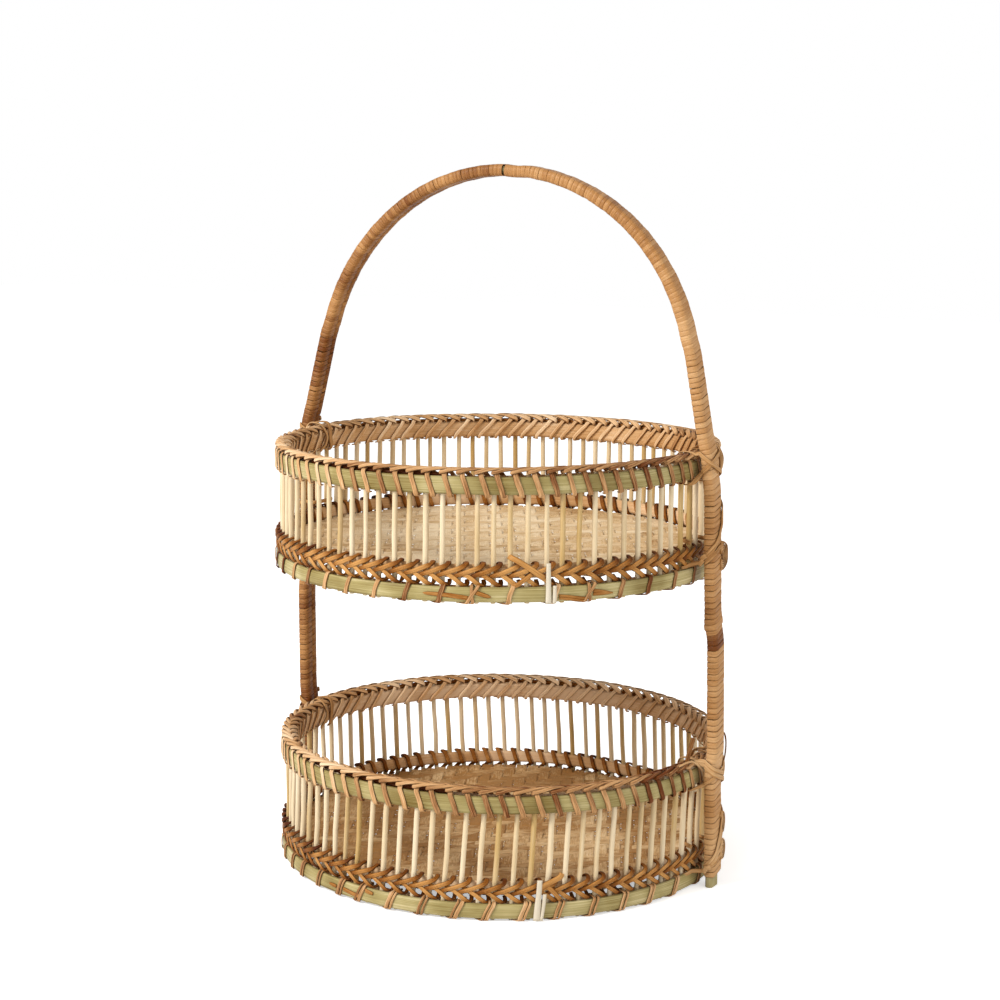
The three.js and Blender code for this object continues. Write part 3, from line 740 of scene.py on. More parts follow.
# %% Rim stitches
rim_strands = [
    ([(0.06, 148.6, 67, -80), (0.05, 150.2, 66.9, -50), (0.03, 150.8, 68.2), (-0.07, 150.85, 71.5),
      (-0.2, 150.85, 75.5), (-0.3, 150.7, 78.6, 12), (-0.34, 149.8, 80.1, 55), (-0.36, 148.2, 80.6, 85),
      (-0.37, 146.8, 80.5, 92)], 3.4, 0.9),
    ([(-0.46, 146.6, 80.9, 0, -90), (-0.52, 148.4, 81.3, 0, -88), (-0.55, 149.8, 81.5, 0, -70),
      (-0.48, 150.3, 81.9, 4, -38), (-0.3, 150.4, 82.4, 12, -12), (0, 150.1, 83, 30), (0.4, 149.1, 83.3, 55),
      (0.85, 147.6, 83.2, 78), (1.3, 145.8, 82.5, 95), (1.6, 145, 81, 120)],
     [2.2, 2.3, 2.4, 2.5, 2.3, 2.2, 2.3, 2.7, 3, 2.8], 1.25),
    ([(0.85, 147.4, 82.4, 80), (0.55, 146, 83.1, 95), (0.2, 144.4, 83, 112), (-0.12, 143, 82.3, 135, -12),
      (-0.36, 142.2, 81.4, 155, -40), (-0.45, 142.1, 80.5, 172, -65), (-0.4, 143.2, 79.8, 190, -85)],
     [1.6, 2.6, 3.3, 3.6, 3.5, 3, 2.4], 1.3),
    ([(-0.22, 143.6, 80.8, 120), (-0.12, 142.2, 80.2, 155), (0.08, 141.5, 77.8, 178), (0.4, 141.3, 74.2, 180),
      (0.72, 141.3, 70.8, 180), (0.86, 141.5, 68.8, 184), (0.9, 142.6, 67.4, 225), (0.92, 144.6, 67.2, 270)],
     [2.9, 2.9, 2.9, 2.9, 2.8, 2.4, 2, 1.8], 0.9),
]


def make_rim_stitch(number, random):
    """The outside strand, the chain's outer and inner strand, and the inside strand."""
    return make_object(f"rim_stitch_{number}", [
        strip_of(rows, width, thickness, random, 3, number=own)
        for (rows, width, thickness), own in zip(rim_strands, (0.45 + 0.1 * number, 0.7, 0.35, 0.6))])


core_radius, core_height, core_thickness = 146.6, 79.8, 3.0
rim_random = np.random.default_rng(31)
for tier in tiers:
    marks, turns = ring_marks(tier, 0, rim_random, 0.04 * stake_pitch)
    angles = turns[:, 2]
    # The stitches are darker round the front right. Towards the back they are lighter, more so on the lower
    # tray: painted light that lifts the inside of the back rim, which on the lower tray lies in the upper
    # tray's shade.
    tones = 0.55 + 0.06 * np.sin(angles * 5) - 0.3 * np.clip(np.cos(angles + 0.45), 0, 1) ** 2
    tones += (0.3 if tier == "lower" else 0.12) * np.clip(np.sin(angles), 0, 1)
    stretches = np.column_stack([ones, rim_random.normal(1, 0.05, stake_count), ones])
    shapes = [make_rim_stitch(number, rim_random) for number in range(3)]
    stitches = repeat_shapes(f"{tier}_rim_stitches", shapes, marks, turns, tones, lashing_finish, stretches,
                             lean=0.05, spread=0.22, seed=5)
    fasten(stitches, "lashing_cane", f"{tier}_rim_lashing", f"{tier}_rim_edge_braid")
    # A dark round cane lies under the chain. On the front left it is darker still: painted shade in the holes
    # beneath the chain.
    angles = np.radians(np.arange(12, 289, 3))
    radial = compass(angles)
    path = radial * core_radius + (0, 0, core_height) + origin[tier]
    core = sweep(path, radial, core_thickness, core_thickness, *round_outline(7),
                 number=np.where(angles < 3.9, 0.75, 0.0))
    make_piece(f"{tier}_rim_core", "lashing_cane", twining_finish, 0.25, [core])

# %% [markdown]
# ## Twining at the waist
# Two canes bind the thin waist hoop to the sticks. Outside they lie as a row of arrow
# heads: the upper strand rises to the right and dives in behind a stick, over the hoop,
# and the lower one falls to the right and dives in below it. Inside, each strand goes
# down over the hoop at a stick, with the pale hoop showing between. Real cane of this
# kind keeps its skin, so it's darker and browner than the lashing.

# %% Twining
lower_strand = [
    (-1, 148.8, 21.8), (-0.82, 149.5, 21.2), (-0.5, 149.9, 19.2), (-0.2, 150.1, 17), (0.08, 150, 14.7, -4),
    (0.28, 149.3, 13.2, -24), (0.42, 147.4, 12.7, -62), (0.46, 145, 13.9, -90), (0.4, 143.4, 15.6, -130)]
upper_strand = [
    (-1.25, 148.6, 18.2), (-1.05, 149.8, 19.2), (-0.7, 150.2, 20.6), (-0.35, 150.4, 22.2),
    (-0.05, 150.4, 23.6, 2), (0.15, 150.1, 24.4, 12), (0.33, 149, 25.2, 40), (0.42, 146.8, 26.2, 80),
    (0.38, 144.4, 26.5, 110), (0.28, 142.9, 25, 165), (0.18, 142.6, 21.6, 180), (0.08, 142.6, 18.9, 180),
    (0, 143.6, 17.2, 225), (-0.1, 145.4, 16.8, 270)]
strand_numbers = ([0.05, 0.4, 0.85, 0.9, 0.6, 0.15, 0.05, 0.1, 0.1],
                  [0.02, 0.2, 0.6, 0.8, 0.7, 0.45, 0.1, 0.1, 0.2, 0.35, 0.6, 0.45, 0.1, 0.1])

twining_random = np.random.default_rng(41)
for tier, widths, early in (("lower", (2.8, 3.0), 0.6), ("upper", (3.1, 3.3), 2.2)):
    marks, turns = ring_marks(tier, stake_pitch / 2, twining_random, 0.03 * stake_pitch)
    angles = turns[:, 2]
    tones = 0.5 + 0.14 * np.sin(angles + early) + 0.08 * np.sin(3 * angles)
    shapes = [make_object(f"twining_{number}", [
        strip_of(rows, width, thickness, twining_random, 3, 0.15, numbers) for rows, width, thickness, numbers
        in zip((lower_strand, upper_strand), widths, (1.0, 1.2), strand_numbers)]) for number in range(3)]
    stretches = np.column_stack([ones, ones, 1 - 0.033 * (1 + np.cos(angles + math.pi / 3))])
    twining = repeat_shapes(f"{tier}_twining", shapes, marks, turns, tones, twining_finish, stretches,
                            lean=0.15, spread=0.18, seed=17)
    fasten(twining, "twining_cane", f"{tier}_waist_twining")

# %% [markdown]
# ## Ties round the base
# The base hoops are bound more sparingly, with a loop at every second gap: three narrow
# strands side by side on the lower tray, and one wide one on the upper. Each is a closed
# loop over the top and under the foot of the hoops, just clear of the floor.


# %% Base ties
def base_loop(offset, slant=0.1):
    """Rows of a loop round the two base hoops: inside, over the top, down and under."""
    rows = [
        (0, 141.7, 10.4, 178), (0.05, 142.5, 11.5, 130), (0.06, 145, 11.6, 90), (0.06, 149, 11.6, 90),
        (0.06, 150.5, 11.2, 45), (0.03, 150.9, 9.4, 5), (-0.03, 150.95, 6, 0), (-0.05, 150.9, 2.8, -5),
        (-0.08, 150.4, 1.25, -45), (-0.3, 149, 1.1, -90), (-0.7, 144, 1.1, -90),
        (-0.82, 142.4, 1.3, -130), (-0.8, 141.7, 2.6, -178), (-0.3, 141.6, 7.2, -180),
        (0.02, 141.7, 10.9, -182)]
    return [(offset + around + slant * (height - 6) / 6, radius, height, facing)
            for around, radius, height, facing in rows]


def make_base_tie(tier, number, random):
    """Three narrow strands for the lower tray, or one wide strand for the upper."""
    strands = [(base_loop(0.145 * strand, 0.12 + 0.03 * number), 1.55, (0.35 * strand + 0.3 * number) % 1)
               for strand in (-1, 0, 1)]
    if tier == "upper":
        strands = [(base_loop(0, 0.1), 3.3 - 0.15 * number, 0.3 * number)]
    return make_object(f"base_tie_{number}", [
        strip_of(rows, width, 0.75, random, 2, number=own) for rows, width, own in strands])


front_ties = {
    "lower": [-32.1, -30.2, -28.6, -26.6, -24.6, -23, -20.9, -18.9, -16.8, -15, -13, -11, -8.9, -6.9,
              -4.9, -2.7, 0],
    "upper": [-30.85, -28.9, -27.1, -25.35, -23.55, -21.45, -19.57, -17.49, -15.68, -13.5, -10.92,
              -8.96, -6.93, -4.9, -2.67, -0.54],
}
crossed_ties = {"lower": [], "upper": [-15.68, -8.96]}
base_random = np.random.default_rng(51)
for tier in tiers:
    front = front_ties[tier]
    rest = np.linspace(front[-1], front[0] + stake_count, stake_count // 2 - len(front) + 2)[1:-1]
    angles = np.array([place for place in [*front, *rest] if place not in crossed_ties[tier]]) * stake_pitch
    tones = base_random.uniform(0.2, 0.5, len(angles))
    ties = [make_base_tie(tier, number, base_random) for number in range(3)]
    loops = repeat_shapes(f"{tier}_base_ties", ties, *marks_at(tier, angles), tones, lashing_finish, seed=23)
    fasten(loops, "lashing_cane", f"{tier}_base_lashing")

# %% [markdown]
# ## Woven floors
# Each floor is a round mat of flat splints, about 8 mm wide, woven over two and under
# two, and it's turned about 30 degrees to the legs. Every splint is swept on its
# own path that rises and dips at the crossings and ends at the round edge, so light and
# shadow come from the weave itself.

# %% Floors
splint_spacing, splint_thickness = 8.8, 0.42
half_splint, splint_lift, flat_half = 4, 0.27, 2.6
splint_outline = np.array([(-0.5, 0.25), (-0.42, 1), (0.42, 1), (0.5, 0.25), (0.42, 0), (-0.42, 0)])
splint_across = np.array([0, 0.08, 0.92, 1, 0.9, 0.1])


def make_floor(tier, turn, middle_tone, random):
    """A floor's splints in one piece: those along the mat's own X axis, then those across."""
    edge = floor_ring["outside"] - 0.8
    middle = (floor_ring["foot"] + floor_ring["top"]) / 2 - 0.5
    last = int(edge // splint_spacing)
    along_x, along_y = compass(np.array([turn, turn + np.pi / 2]))
    strips, tones = [], []
    for lengthwise, forward, sideways in ((True, along_x, along_y), (False, along_y, along_x)):
        for own in range(-last, last + 1):
            offset = own * splint_spacing + random.normal(0, 0.15)
            half = math.sqrt(max(edge**2 - (abs(offset) + half_splint) ** 2, 0))
            crossings = [other for other in range(-last, last + 1) if abs(other * splint_spacing) < half - 2]
            if len(crossings) < 2:
                continue
            stations = []
            for other in crossings:
                lift = splint_lift if ((other - own) % 4 < 2) == lengthwise else -splint_lift
                stations += [(other * splint_spacing + shift, lift) for shift in (-flat_half, flat_half)]
            stations = [place for place in [(-half, 0), *stations, (half, 0)] if abs(place[0]) <= half]
            path = [forward * where + sideways * offset + (0, 0, middle + lift) for where, lift in stations]
            width = splint_spacing * random.uniform(0.9, 0.97)
            points, faces, finish = sweep(path, np.tile((0, 0, 1.0), (len(path), 1)), width, splint_thickness,
                                          splint_outline, splint_across, random.uniform(0, 9))
            strips.append((points + origin[tier], faces, finish))
            tones.append(np.full(len(points), random.normal(middle_tone, 0.14)))
    made = make_piece(f"{tier}_woven_floor", "woven_floor", floor_finish, np.concatenate(tones), strips,
                      f"{tier}_floor_mat")
    for face in made.data.polygons:
        face.use_smooth = False


floor_random = np.random.default_rng(61)
# The lower floor's tone is far darker than the upper's: painted shade of the upper tray above it.
for tier, turn, middle_tone in (("lower", 27, 0.12), ("upper", 31, 0.68)):
    make_floor(tier, math.radians(turn), middle_tone, floor_random)

# %% [markdown]
# ## Cane wound round the handle
# The handle is a bent bamboo strip under one flat cane that is wound round it about 310
# times. Each turn is a strip round a rounded rectangle. It climbs one width on one face
# and lies nearly level on the other three: in the right half it climbs on the outer face,
# and in the left half on the inner one. The next turn starts where it ends, so the
# repeats read as one unbroken strip. The marks follow the bent handle.


# %% The handle's line
def handle_line():
    """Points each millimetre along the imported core's middle, from the corners on its far
    face, and which way is outwards."""
    points = np.array([v.co for v in frame["nodes"]["handle_core"].data.vertices], float) * 1000
    hair, middle_height = 0.01, 150
    side = points[points[:, 1] > points[:, 1].max() - hair]
    turn = np.arctan2(side[:, 2] - middle_height, side[:, 0])
    side = side[np.argsort(np.where(turn < -np.pi / 2, turn + 2 * np.pi, turn))]
    corners = (side[0::2] + side[1::2])[:, [0, 2]] / 2
    lengths = np.concatenate([[0], np.cumsum(np.linalg.norm(np.diff(corners, axis=0), axis=1))])
    round_off = 13
    stops = np.arange(-round_off, lengths[-1] + round_off)
    line = np.column_stack([np.interp(stops, lengths, corners[:, column]) for column in range(2)])
    line[:round_off, 1] = stops[:round_off]
    line[-round_off:, 1] = lengths[-1] - stops[-round_off:]
    evened = np.ones(round_off) / round_off
    for _ in range(2):
        line = np.column_stack([np.convolve(column, evened, "same") for column in line.T])
    along = np.gradient(line, axis=0)
    outwards = np.unwrap(np.arctan2(-along[:, 0], along[:, 1]))
    return stops[round_off:-round_off], np.column_stack([line, outwards])[round_off:-round_off]


line_lengths, line_points = handle_line()
handle_length = line_lengths[-1]
print("handle is", round(handle_length), "mm long, its arch is at", round(line_points[:, 1].max(), 1), "mm")

# %% Handle wrap
wrap_pitch, wrap_thickness = 3.7, 0.72
wrap_foot, wrap_end = 9.5, 9
wrap_outline = np.array([(-0.5, 0.55), (-0.36, 0.93), (0, 1), (0.36, 0.93), (0.5, 0.55), (0, -0.1)])
wrap_across = np.array([0, 0.14, 0.5, 0.86, 1, 0.5])
climbs = {
    "right": ([0, 1, 2, 2.5, 3, 4, 5], [-0.5, -0.55, -0.52, -0.14, 0.55, 0.52, 0.5]),
    "left": ([0, 1, 2, 3, 4, 5], [-0.5, 0.02, 0.05, 0.03, 0, 0.5]),
}


def make_turn(name, side, random):
    """One turn about the handle's line: X outwards, Y sideways and Z along the handle. Its
    corners are 1, 2, 3 and 4 quarters round, where the climbs are given in widths."""
    inner = np.array((-3.3, 0))
    places, looks = [inner], [(-1, 0, 0)]
    for start, middle in ((180, (-0.9, -4.05)), (270, (0.9, -4.05)), (0, (0.9, 4.05)), (90, (-0.9, 4.05))):
        for step in range(5):
            turn = math.radians(start + 22.5 * step)
            looks.append((math.cos(turn), math.sin(turn), 0))
            places.append(np.array(middle) + 2.4 * np.array(looks[-1][:2]))
    quarters = [0, 0.56, 0.78, 1, 1.25, 1.49, 1.51, 1.75, 2, 2.11, 2.22, 2.78, 2.89, 3, 3.25, 3.49, 3.51,
                3.75, 4, 4.22, 4.44, 5]
    climb = np.interp(quarters, *climbs[side]) * wrap_pitch
    climb[3:-3] += random.normal(0, 0.05, len(climb) - 6)
    path = np.column_stack([[*places, inner], climb])
    return make_object(name, [sweep(path, [*looks, (-1, 0, 0)], wrap_pitch * 1.02, wrap_thickness,
                                    wrap_outline, wrap_across, random.uniform(0.2, 0.8))])


wrap_random = np.random.default_rng(71)
pitches = wrap_random.uniform(3.35, 4.05, 400)
stops = wrap_foot + np.cumsum(pitches)
stops = stops[stops < handle_length - wrap_end - wrap_pitch]
pitches = pitches[:len(stops)]
x, z, outwards = (np.interp(stops, line_lengths, line_points[:, column]) for column in range(3))
thick_turn, dark_turns = 182, 168
swell = wrap_random.normal(1, 0.008, len(x)) + 0.14 * np.exp(-((stops - thick_turn) / 2.6) ** 2)
gap = np.where(wrap_random.random(len(x)) < 0.08, 0.93, 1.0)
tones = 0.66 + 0.1 * np.sin(stops / 37) + 0.07 * np.sin(stops / 11)
tones -= 0.4 * (np.abs(stops - dark_turns) < 5)
tones -= np.interp(x, [-135, -60, 0, 100, 130], [0.48, 0.36, 0.24, 0.2, 0])
for side, here, nodes in (("right", stops < handle_length / 2, ["handle_wrap"]),
                          ("left", stops >= handle_length / 2, [])):
    marks = np.stack([x, 0 * x, z], axis=1)[here] * 0.001
    turns = np.stack([0 * x, -outwards, 0 * x], axis=1)[here]
    stretches = np.stack([swell, swell, pitches / wrap_pitch * gap], axis=1)[here]
    shapes = [make_turn(f"turn_{number}", side, wrap_random) for number in range(3)]
    wrap = repeat_shapes(f"handle_cane_{side}", shapes, marks, turns, tones[here], wrap_finish, stretches,
                         lean=0.6, spread=0.1, seed=29)
    fasten(wrap, "wrap_cane", *nodes)

# %% [markdown]
# ## Where the canes start and end
# A hand-made basket shows where its canes start. The twining of each tray starts and
# ends in a diamond beside a peg, two of the upper tray's base ties are crossed over a cane
# that runs along the hoop, and tails are tucked under the ties. These few pieces are
# placed one by one.


# %% Starts of the twining
def placed_strip(tier, rows, width, thickness, number=0.5, steps=4):
    """A strip on rows counted from the tray's own X axis, in the stand's frame."""
    points, faces, finish = strip_of(rows, width, thickness, steps=steps, number=number, radius=0)
    return points + origin[tier], faces, finish


diamonds = {
    "upper": [[(-13.6, 147.6, 29.4, 20), (-13.45, 150, 28.9, 10), (-13.1, 151.1, 27), (-12.5, 151.3, 22.8),
               (-11.9, 151.2, 18.2), (-11.6, 149.8, 16, -20)],
              [(-13.4, 149.4, 11.7), (-13.15, 150.6, 12.8), (-12.75, 150.9, 15.9), (-12.36, 150.6, 18.9)]],
    "lower": [[(-12.2, 150.2, 20.6), (-11.9, 151.4, 23.2), (-11.4, 151.5, 25.6), (-10.95, 150.6, 27.6, 20),
               (-10.8, 148.2, 28.3, 50)],
              [(-11.75, 150.4, 22.4), (-11.5, 151.3, 20.4), (-11.2, 151.3, 16.8), (-10.94, 150.6, 13.4)]],
}
for tier in tiers:
    strips = [placed_strip(tier, rows, width, 1.1, number)
              for rows, width, number in zip(diamonds[tier], (3.6, 3.0), (0.6, 0.45))]
    make_piece(f"{tier}_twining_start", "twining_cane", twining_finish, 0.7, strips)

# %% Tucked tails
tails = {
    "upper": [
        ([(-18.5, 150.9, 6.4), (-18.2, 151, 6.3), (-17.1, 151, 5.8), (-16.4, 151, 4.9), (-15.9, 150.9, 4.2)],
         [0.6, 2.2, 2.9, 2.9, 2.8]),
        ([(-15.5, 150.8, 7.8), (-15.2, 151, 6.8), (-14.85, 151, 5.6), (-14.65, 150.9, 4.9)],
         [2.8, 2.8, 2.4, 1.0]),
        ([(-10.8, 150.9, 5.4), (-10.2, 151, 4.5), (-9.6, 151, 3.4), (-9.2, 150.9, 2.8)], 1.7),
        ([(-10.8, 150.9, 3.7), (-10.2, 151, 2.9), (-9.6, 151, 1.9), (-9.3, 150.9, 1.4)], 1.6),
        ([(-8.75, 150.8, 7.1), (-8.4, 151, 6.6), (-7.9, 151, 5.5), (-7.5, 150.9, 4.8)],
         [2.2, 2.2, 1.8, 0.6]),
        ([(-8.75, 150.8, 4.9), (-8.4, 151, 4.9), (-7.9, 151, 4.8), (-7.5, 150.9, 4.7)],
         [2.0, 2.0, 1.5, 0.6]),
    ],
    "lower": [
        ([(-25.5, 150.9, 6.3), (-25.2, 151, 6.1), (-24.9, 150.9, 6)], [1.6, 2.6, 2.4]),
        ([(-24.3, 150.9, 5.9), (-23.9, 151, 5.4), (-23.4, 151, 4.7), (-23, 150.9, 4.1)], 2.8),
        ([(-22.6, 150.8, 9.2), (-22.35, 151, 8.8), (-22.05, 150.9, 8.3)], [2.8, 2.8, 2.0]),
    ],
}
for tier in tiers:
    strips = [placed_strip(tier, rows, width, 0.6, 0.6) for rows, width in tails[tier]]
    make_piece(f"{tier}_base_tails", "twining_cane", twining_finish, 0.55, strips)

# %% Crossed ties
strips = []
for start in crossed_ties["upper"]:
    for slant, rise, number in ((0.3, 0.35, 0.6), (-0.12, 0, 0.4)):
        rows = [(start + around, radius + rise, height, facing)
                for around, radius, height, facing in base_loop(0, slant)]
        strips.append(placed_strip("upper", rows, 2.1, 0.75, number))
make_piece("upper_crossed_ties", "lashing_cane", lashing_finish, 0.45, strips)

# %% Pegs
peg_radius = 151.75
pegs = {
    "upper": [([(-11.45, 25.7), (-11.44, 18), (-11.43, 9), (-11.42, 0.6)], [3.0, 3.2, 3.6, 3.9]),
              ([(-11.07, 11.8), (-11.08, 6), (-11.09, 0.9)], [2.4, 2.6, 2.6])],
    "lower": [([(-12.13, 26.6), (-12.18, 18), (-12.25, 9), (-12.3, 1.0)], [3.5, 3.7, 4.0, 4.4]),
              ([(-11.84, 17.7), (-11.92, 9), (-12.03, 1.0)], [2.5, 2.4, 2.1])],
}
peg_random = np.random.default_rng(81)
for tier in tiers:
    strips = []
    for rows, width in pegs[tier]:
        rows = [(around, peg_radius, height) for around, height in rows]
        widths = width * peg_random.uniform(0.94, 1.04, len(rows))
        strips.append(placed_strip(tier, rows, widths, 1.2, steps=5))
    make_piece(f"{tier}_peg", "peg_bamboo", peg_finish, 0.6, strips, f"{tier}_front_peg")

# %% [markdown]
# ## Ties between the trays and the legs
# At each leg and each tray, flat cane is tied twice: over the rim, in a cross over the
# leg's outer face, and round the leg at the waist. It's what carries the trays, so it's
# drawn tight on the leg and only stands off where it turns the corner to the rim.

# %% Places round a leg
leg_half = (4.0, 7.2)
leg_corner = 2.9


def leg_reach_at(side, tier, height):
    """How far the leg's middle is from the tray's axis at a height of the tray's frame."""
    half = len(line_points) // 2
    line = line_points[:half] if side == "right" else line_points[:half - 1:-1] * (-1, 1, 1)
    reach = np.interp(height + tray_place[tier].z * 1000, line[:, 1], line[:, 0])
    return reach - tray_place[tier].x * 1000 * (1 if side == "right" else -1)


def leg_row(around, height, off):
    """Row on the leg's skin. Around is 0 at its near inner corner, 1 at the near outer
    one, 2 at the far outer one and 3 at the far inner one."""
    thick, wide = leg_half[0] + off, leg_half[1] + off
    face, share = int(around // 1) % 4, around % 1
    normal, along = (np.array([(0, -1), (1, 0), (0, 1), (-1, 0)][index % 4]) for index in (face, face + 1))
    half_length, half_depth = (thick, wide) if face % 2 == 0 else (wide, thick)
    place = (2 * share - 1) * half_length
    corner = leg_corner + off
    bend = np.clip((abs(place) - half_length + corner) / corner, 0, 1) * np.pi / 4
    looks = normal * np.cos(bend) + along * np.sin(bend) * np.sign(place)
    inset = half_length - corner
    point = along * np.clip(place, -inset, inset) + normal * (half_depth - corner) + looks * corner
    return (*point, height, np.degrees(np.arctan2(looks[1], looks[0])))


def leg_rows(*stops, off=0.3):
    """Rows round the leg between stops of (around, height)."""
    rows = []
    for (start, low), (end, high) in zip(stops[:-1], stops[1:]):
        count = math.ceil(max(abs(end - start) / 0.2, abs(high - low) / 5))
        rows += [leg_row(start + (end - start) * step / count, low + (high - low) * step / count, off)
                 for step in range(count)]
    return rows + [leg_row(*stops[-1], off)]


# %% Strips by a leg
def tie_strip(side, tier, rows, width, thickness=0.9, number=0.5):
    """A strip on rows of (out, sideways, height, compass, rise) by the right leg, turned
    half round for the left one. Out under 60 counts from the leg's middle, and more from
    the tray's axis. The face looks along the compass angle and up by the rise."""
    rows = full_rows(rows)
    near = rows[:, 0] <= 60
    rows[near, 0] += leg_reach_at(side, tier, rows[near, 2])
    looks, rise = np.radians(rows[:, 3]), np.radians(rows[:, 4:])
    facing = compass(looks) * np.cos(rise) + np.sin(rise) * (0, 0, 1)
    turn = (1, 1, 1) if side == "right" else (-1, -1, 1)
    path = smooth_path(rows[:, :3], 3) * turn + origin[tier]
    width = along_path(width, len(rows), len(path))
    return sweep(path, smooth_path(facing, 3) * turn, width, thickness, number=number)


# %% Ways over the rim
def over_rim(sideways, towards_leg):
    """Rows from inside the rim over its top, on one side of the leg."""
    near = -1 if sideways < 0 else 1
    return [(139.3, sideways, 76, 180), (139.2, sideways, 82, 180, 20), (140.8, sideways, 84.8, 180, 70),
            (144.5, sideways, 85.6, 0, 90), (149, sideways, 85.4, 50 * near, 75),
            (151.6, towards_leg, 84.6, 60 * near, 40)]


def under_rim(sideways, towards_leg):
    """Rows from inside the rim round its foot, on one side of the leg."""
    near = -1 if sideways < 0 else 1
    return [(139.3, sideways, 73, 180), (139.3, sideways, 68, 180, -30), (141.5, sideways, 65.9, 180, -85),
            (148, sideways, 65.7, 80 * near, -80), (151.5, towards_leg, 66.9, 70 * near, -35)]


def falling_rows(high, drop, off):
    """From the rim's top on the near side, down round the leg, to the rim's foot."""
    return (over_rim(-9.2, -8.6) + leg_rows((0.15, high), (1, high - 0.45 * drop), (2, high - drop), off=off)
            + leg_rows((2.5, high - drop - 2.5), (2.9, 68.2), off=off) + under_rim(11, 10.2)[::-1])


def rising_rows(low, climb, off):
    """From the rim's foot on the near side, up round the leg, to the rim's top."""
    return (under_rim(-12.4, -11) + leg_rows((0.1, low), (1, low + 0.47 * climb), (2, low + climb), off=off)
            + [(0, 8.2, low + climb + 2.5, 90), (-5, 8.6, 88, 90, 40)] + over_rim(10.6, 9.6)[::-1])


def fan_rows(count, low, high):
    """One of the nested strands that bulge from the leg's far corner to the rim's top."""
    middle, less = (low + high) / 2, 0.1 * count
    return [(3.6, 1.5, low - 1), (3.9 - less, 5.0 + 0.9 * count, low + 0.2, 20, -30),
            (3.2 - less, 7.6 + 1.7 * count, middle - 3.6, 30, -10),
            (2.2 - less, 8.4 + 2.0 * count, middle + 0.6, 30, 5),
            (0.6 - less, 8.2 + 1.6 * count, high - 3.4 + 0.4 * count, 30, 30),
            (-2.6, 7.9 + 0.8 * count, high - 0.6 + 0.6 * count, 60, 45),
            (-7, 8.2, high - 0.8 + 0.5 * count, 90, 60), (145, 9.4 + 0.5 * count, 87.2, 90, 75),
            (141, 10.4 + 0.8 * count, 85, 180, 60),
            (139.3, 10.8 + count, 80, 180), (139.3, 10.8 + count, 74, 180)]


# %% Ties over the rim
falling = {"upper": [(85.4, 13.4, 3.0)], "lower": [(84.8, 10.6, 3.0), (81.8, 11.2, 3.4)]}
rising = {"upper": (72.2, 13.5, 3.6), "lower": (68.8, 11.0, 2.4)}
fans = {"upper": (4, 74.0, 91.0), "lower": (2, 73.0, 89.0)}
arches = {
    "upper": [
        [(155.5, 8.4, 73, 90), (153.5, 9.4, 79, 90, 10), (152, 9.7, 82.8, 80, 40), (149, 10.4, 84.9, 90, 80),
         (145.4, 11, 85.2, 120, 80), (141.6, 9.2, 84, 170, 50), (139.7, 5.8, 79.5, 180),
         (139.4, 4.4, 75, 180), (139.4, 6.6, 69.6, 180), (139.4, 13.2, 65.6, 180)],
        [(150.5, 2, 84.4, 90, 90), (145.5, 1.5, 85.2, 90, 90), (141, 1.2, 84.6, 180, 55),
         (139.5, 0.8, 81, 180), (139.4, 0, 74, 180), (139.5, -1, 68, 180), (141.5, -1.2, 65.8, 180, -80)],
    ],
    "lower": [
        [(156, 8.4, 70, 90), (154, 9.3, 77, 90, 10), (151.8, 9.8, 82, 80, 40), (147.8, 12, 84.9, 90, 80),
         (142.3, 12.8, 83.8, 165, 50), (139.7, 11.6, 78.4, 180), (139.5, 10.9, 74.3, 180),
         (139, 15.5, 69.6, 180), (138.5, 20.5, 66.9, 180)],
        [(150.5, 7, 84.6, 90, 90), (145.5, 6, 85.3, 90, 90), (141, 5.2, 84.6, 180, 55), (139.5, 5, 81, 180),
         (139.4, 5.6, 75, 180), (139.5, 6.5, 68.6, 180), (141.5, 6.6, 65.9, 180, -80)],
    ],
}
for side in ("right", "left"):
    for tier in tiers:
        tie = partial(tie_strip, side, tier)
        if side == "right":
            low, climb, width = rising[tier]
            strips = [tie(rising_rows(low, climb, 0.3), width)]
            for high, drop, width in falling[tier]:
                rows = falling_rows(high, drop, 0.95)
                widths = np.interp(np.arange(len(rows)), [0, 4, 7], [width * 0.75, width * 0.85, width])
                strips.append(tie(rows, widths, number=0.75))
            count, low, high = fans[tier]
            strips += [tie(fan_rows(strand, low, high), 2.5, 1.2, 0.3 + 0.2 * strand)
                       for strand in range(count)]
        else:
            strips = [tie(rows, width, 1.0, number)
                      for rows, width, number in zip(arches[tier], (2.0, 3.8), (0.8, 0.5))]
            strips += [tie(leg_rows((3.4, 76), (3, 78), (2, 83), (1, 74), (0.1, 70)), 3.4),
                       tie(leg_rows((3.4, 69), (3, 70), (2, 74), (1, 84), (0.1, 87), off=0.95), 3.4)]
        make_piece(f"{side}_{tier}_rim_cross", "tie_cane", tie_finish, 0.55, strips, f"{side}_{tier}_rim_tie")


# %% Ways round the waist
def waist_loop(count, height, reach, drop):
    """One of the nested turns that stand off the leg's far corner."""
    out, drop = reach - 2.0 * count, drop - 2.8 * count
    return [(3.7, 2.5, height + 0.44 * drop, 10), (3.8, 6.2, height + 0.5 * drop, 35, 60),
            (3.4, out - 1.6, height + 0.34 * drop, 35, 35), (3.1, out, height, 30),
            (3.2, out - 1.4, height - 0.32 * drop, 30, -35), (3.7, 6.2, height - 0.5 * drop, 30, -60),
            (3.7, 2.5, height - 0.46 * drop, 10)]


def knot_rows(out, height, turn):
    """A short bulging strand on the leg's near face, at a slope."""
    slope = math.radians(turn)
    return [(out + share * 1.7 * math.cos(slope), -8.1 - 0.4 * (abs(share) < 0.8),
             height + share * 1.7 * math.sin(slope), -90) for share in (-1, -0.7, 0, 0.7, 1)]


def fan_foot(high):
    """A strand that fans down round the leg from a height on its outer face."""
    foot = 15
    drop = high - foot
    return leg_rows((1.9, high + 1), (1.55, high - 0.3 * drop), (1.1, foot + 0.34 * drop), (0.65, foot + 0.2))


